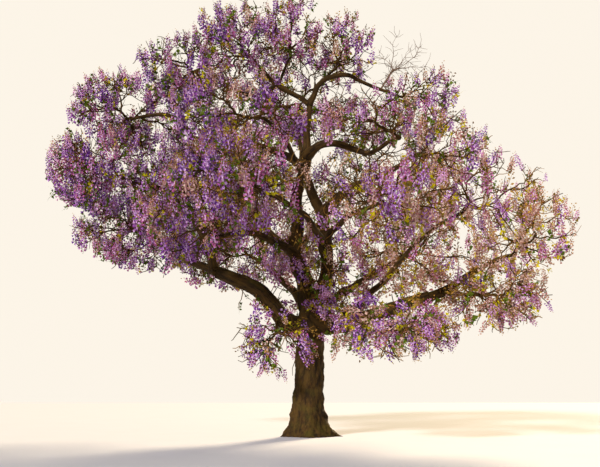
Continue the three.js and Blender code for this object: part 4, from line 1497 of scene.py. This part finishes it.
def spread_piece(name, points, headings, sizes, group, finish, throat=None):
    count, headings = len(points), np.array(headings)
    half = VARIANTS // 2
    kinds = rng.integers(0, half, count) + half * (headings[:, 2] < 0)
    mesh = point_mesh(name, points, heading=headings, spin=rng.uniform(0, 2 * math.pi, count),
                      size=np.array(sizes), kind=kinds)
    piece = grown(name, spread, mesh, Shapes=group, Material=finish, Throat=throat or finish)
    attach(piece, "root")
    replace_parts(piece, *blossom_nodes)
    print(name, len(piece.data.polygons), "faces")


# %% [markdown]
# Tints are dealt by the side spray, with a share for each: violet comes most often inside the
# crown, partly as painted shade, and lavender outside, with mauve among them. Where the low
# sun shines through, most are rose or dusk, and their throats are warm: painted sunlight.

# %% The blossom
cool_throat = petal_finish("cool_throat", (0.86, 0.62, 1.0, 1), through=0.45)
# Warm throats go with the sunlit tints and are part of the painted sunlight.
warm_throat = petal_finish("warm_throat", (0.84, 0.66, 0.64, 1), through=0.45)
WARM_TINTS = ("rose", "dusk")
flowers, husks, sprigs = (borne[kind] for kind in KINDS)
# More violet inside the crown is partly painted shade; the sunny shares, mostly rose and dusk, are
# painted sunlight.
INNER_SHARES = np.array([0.32, 0.30, 0.20, 0.10, 0.05, 0.03])
OUTER_SHARES = np.array([0.27, 0.34, 0.26, 0.08, 0.03, 0.02])
SUNNY_SHARES = np.array([0.03, 0.09, 0.13, 0.05, 0.36, 0.34])


def tint_at(point):
    shaded = blend(INNER_SHARES, OUTER_SHARES, outerness(point))
    return rng.choice(list(TINTS), p=blend(shaded, SUNNY_SHARES, sunniness(point)))


tints = [tint_at(points[-1]) for _, (points, _) in side_sprays]
for tint in TINTS:
    chosen = [c for c in flowers if tints[c.side_spray] == tint]
    feet, headings = [c.root for c in chosen], [c.heading for c in chosen]
    sizes = [c.length / CANDLE for c in chosen]
    spread_piece("blossom_" + tint, feet, headings, sizes, candle_set, petals[tint],
                 warm_throat if tint in WARM_TINTS else cool_throat)
    spread_piece("buds_" + tint, feet, headings, sizes, stalk_set, stalk_finish)

# %% [markdown]
# Husks are dark in the shade and golden in the sun, which is painted shade and painted sunlight.
# Young leaves also unfold beside some of the candles. They are fresh green in the shade, and yellow
# or bronze where the sun comes through: young leaves have these tints, and their bright yellow is
# painted sunlight as well.

# %% Husks and young leaves
EXTRA_SPRIGS, SPRIG_SCATTER = 0.42, 0.7
SPRIG_SIZES = {"fresh_leaf": (0.8, 1.4), "young_leaf": (0.7, 1.2), "bronze_leaf": (0.7, 1.1)}
# Leaf tints are dealt by sunniness: the yellow ones in the sun are partly painted sunlight.
SHADED_LEAVES = np.array([0.76, 0.17, 0.07])
SUNNY_LEAVES = np.array([0.02, 0.6, 0.38])
# Each husk takes the painted-sunlight copy where the sun reaches, else the painted-shade copy.
sunny = [in_sun(c.root) for c in husks]
for lit, name in ((False, "shaded"), (True, "sunny")):
    chosen = [c for c, lit_by_sun in zip(husks, sunny) if lit_by_sun == lit]
    spread_piece(name + "_seed_husks", [c.root for c in chosen], [c.heading for c in chosen],
                 [c.length / CANDLE for c in chosen], husk_set, husk_finishes[name])
sprigs = sprigs + [c for c in flowers if rng.random() < EXTRA_SPRIGS]
leaf_tints_by_sun = [rng.choice(list(leaf_finishes), p=blend(SHADED_LEAVES, SUNNY_LEAVES, sunniness(c.root)))
        for c in sprigs]
for name, finish in leaf_finishes.items():
    chosen = [c for c, age in zip(sprigs, leaf_tints_by_sun) if age == name]
    scatter = SPRIG_SCATTER * rng.normal(size=(len(chosen), 3))
    headings = unit(np.array([c.heading for c in chosen]) + scatter)
    sizes = rng.uniform(*SPRIG_SIZES[name], len(chosen))
    spread_piece("leaves_" + name, [c.root for c in chosen], headings, sizes, sprig_set,
                 finish)

for shape in small_shapes:
    bpy.data.objects.remove(shape)

# %% [markdown]
# ## Light and floor
# A warm soft sun from behind and to the right glows through the petals, and a weaker one in
# front keeps the bark readable. A low warm spot adds to the glow on the right. The floor is a
# cool grey that the warm light makes plain and pale. The studio's air is seen brighter than
# it sheds light, so the crown stays rich against it.

# %% The floor
FLOOR_HALF, FLOOR_PATCHES = 60, 0.6
FLOOR_GREYS = ((0.56, 0.62, 0.73, 1), (0.60, 0.66, 0.78, 1))
corners = [(-FLOOR_HALF, -FLOOR_HALF, 0), (FLOOR_HALF, -FLOOR_HALF, 0),
           (FLOOR_HALF, FLOOR_HALF, 0), (-FLOOR_HALF, FLOOR_HALF, 0)]
floor_mesh = bpy.data.meshes.new("floor")
floor_mesh.from_pydata(corners, [], [(0, 1, 2, 3)])
floor = bpy.data.objects.new("floor", floor_mesh)
bpy.context.scene.collection.objects.link(floor)
floor_finish, tree = material("floor_plaster")
where = tree.node("ShaderNodeTexCoord", None, None, "Object")
patches = noise(tree, where, FLOOR_PATCHES)
show(tree, tree.node("ShaderNodeBsdfPrincipled", None, {
    "Base Color": mix(tree, patches, *FLOOR_GREYS),
    "Roughness": 0.9,
}))
floor_mesh.materials.append(floor_finish)
print("floor", 2 * FLOOR_HALF, "m wide")

# %% The air
SEEN_AIR, SHED_AIR = (1.0, 0.93, 0.82, 1), (1.0, 0.91, 0.78, 1)
SEEN, SHED = 0.98, 0.17
world = bpy.data.worlds.new("studio_air")
bpy.context.scene.world = world
world.use_nodes = True
tree = Tree(world.node_tree)
world.node_tree.nodes.clear()
seen = tree.node("ShaderNodeLightPath", None, None, "Is Camera Ray")
air = tree.node("ShaderNodeBackground", None, {
    "Color": mix(tree, seen, SHED_AIR, SEEN_AIR),
    "Strength": SHED + (SEEN - SHED) * seen,
})
tree.node("ShaderNodeOutputWorld", None, {"Surface": air})
print("air seen at", SEEN, "and shedding", SHED)


# %% The two suns
def sun(name, colour, strength, heading, climb, softness):
    lamp = bpy.data.lights.new(name, "SUN")
    lamp.color, lamp.energy, lamp.angle = colour, strength, math.radians(softness)
    holder = bpy.data.objects.new(name, lamp)
    bpy.context.scene.collection.objects.link(holder)
    holder.rotation_euler = (math.radians(90 - climb), 0, math.radians(90 + heading))


bpy.context.scene.view_settings.view_transform = "Standard"
sun("back_light", (1.0, 0.76, 0.46), strength=6.5, heading=66, climb=26, softness=14)
sun("front_fill", (1.0, 0.86, 0.76), strength=4.3, heading=-120, climb=26, softness=8)

# %% The low glow
GLOW_FROM, GLOW_ON = (13, 11, 3.5), (5.2, 0, 8)
GLOW_WATTS, GLOW_CONE, GLOW_RADIUS = 12000, math.radians(58), 0.6
glow = bpy.data.lights.new("low_glow", "SPOT")
glow.color, glow.energy, glow.shadow_soft_size = (1.0, 0.78, 0.52), GLOW_WATTS, GLOW_RADIUS
glow.spot_size, glow.spot_blend = GLOW_CONE, 1
holder = bpy.data.objects.new("low_glow", glow)
bpy.context.scene.collection.objects.link(holder)
holder.location = GLOW_FROM
holder.rotation_euler = (Vector(GLOW_ON) - Vector(GLOW_FROM)).to_track_quat("-Z", "Y").to_euler()
holder.visible_camera = False
print(len(bpy.data.lights), "lights")
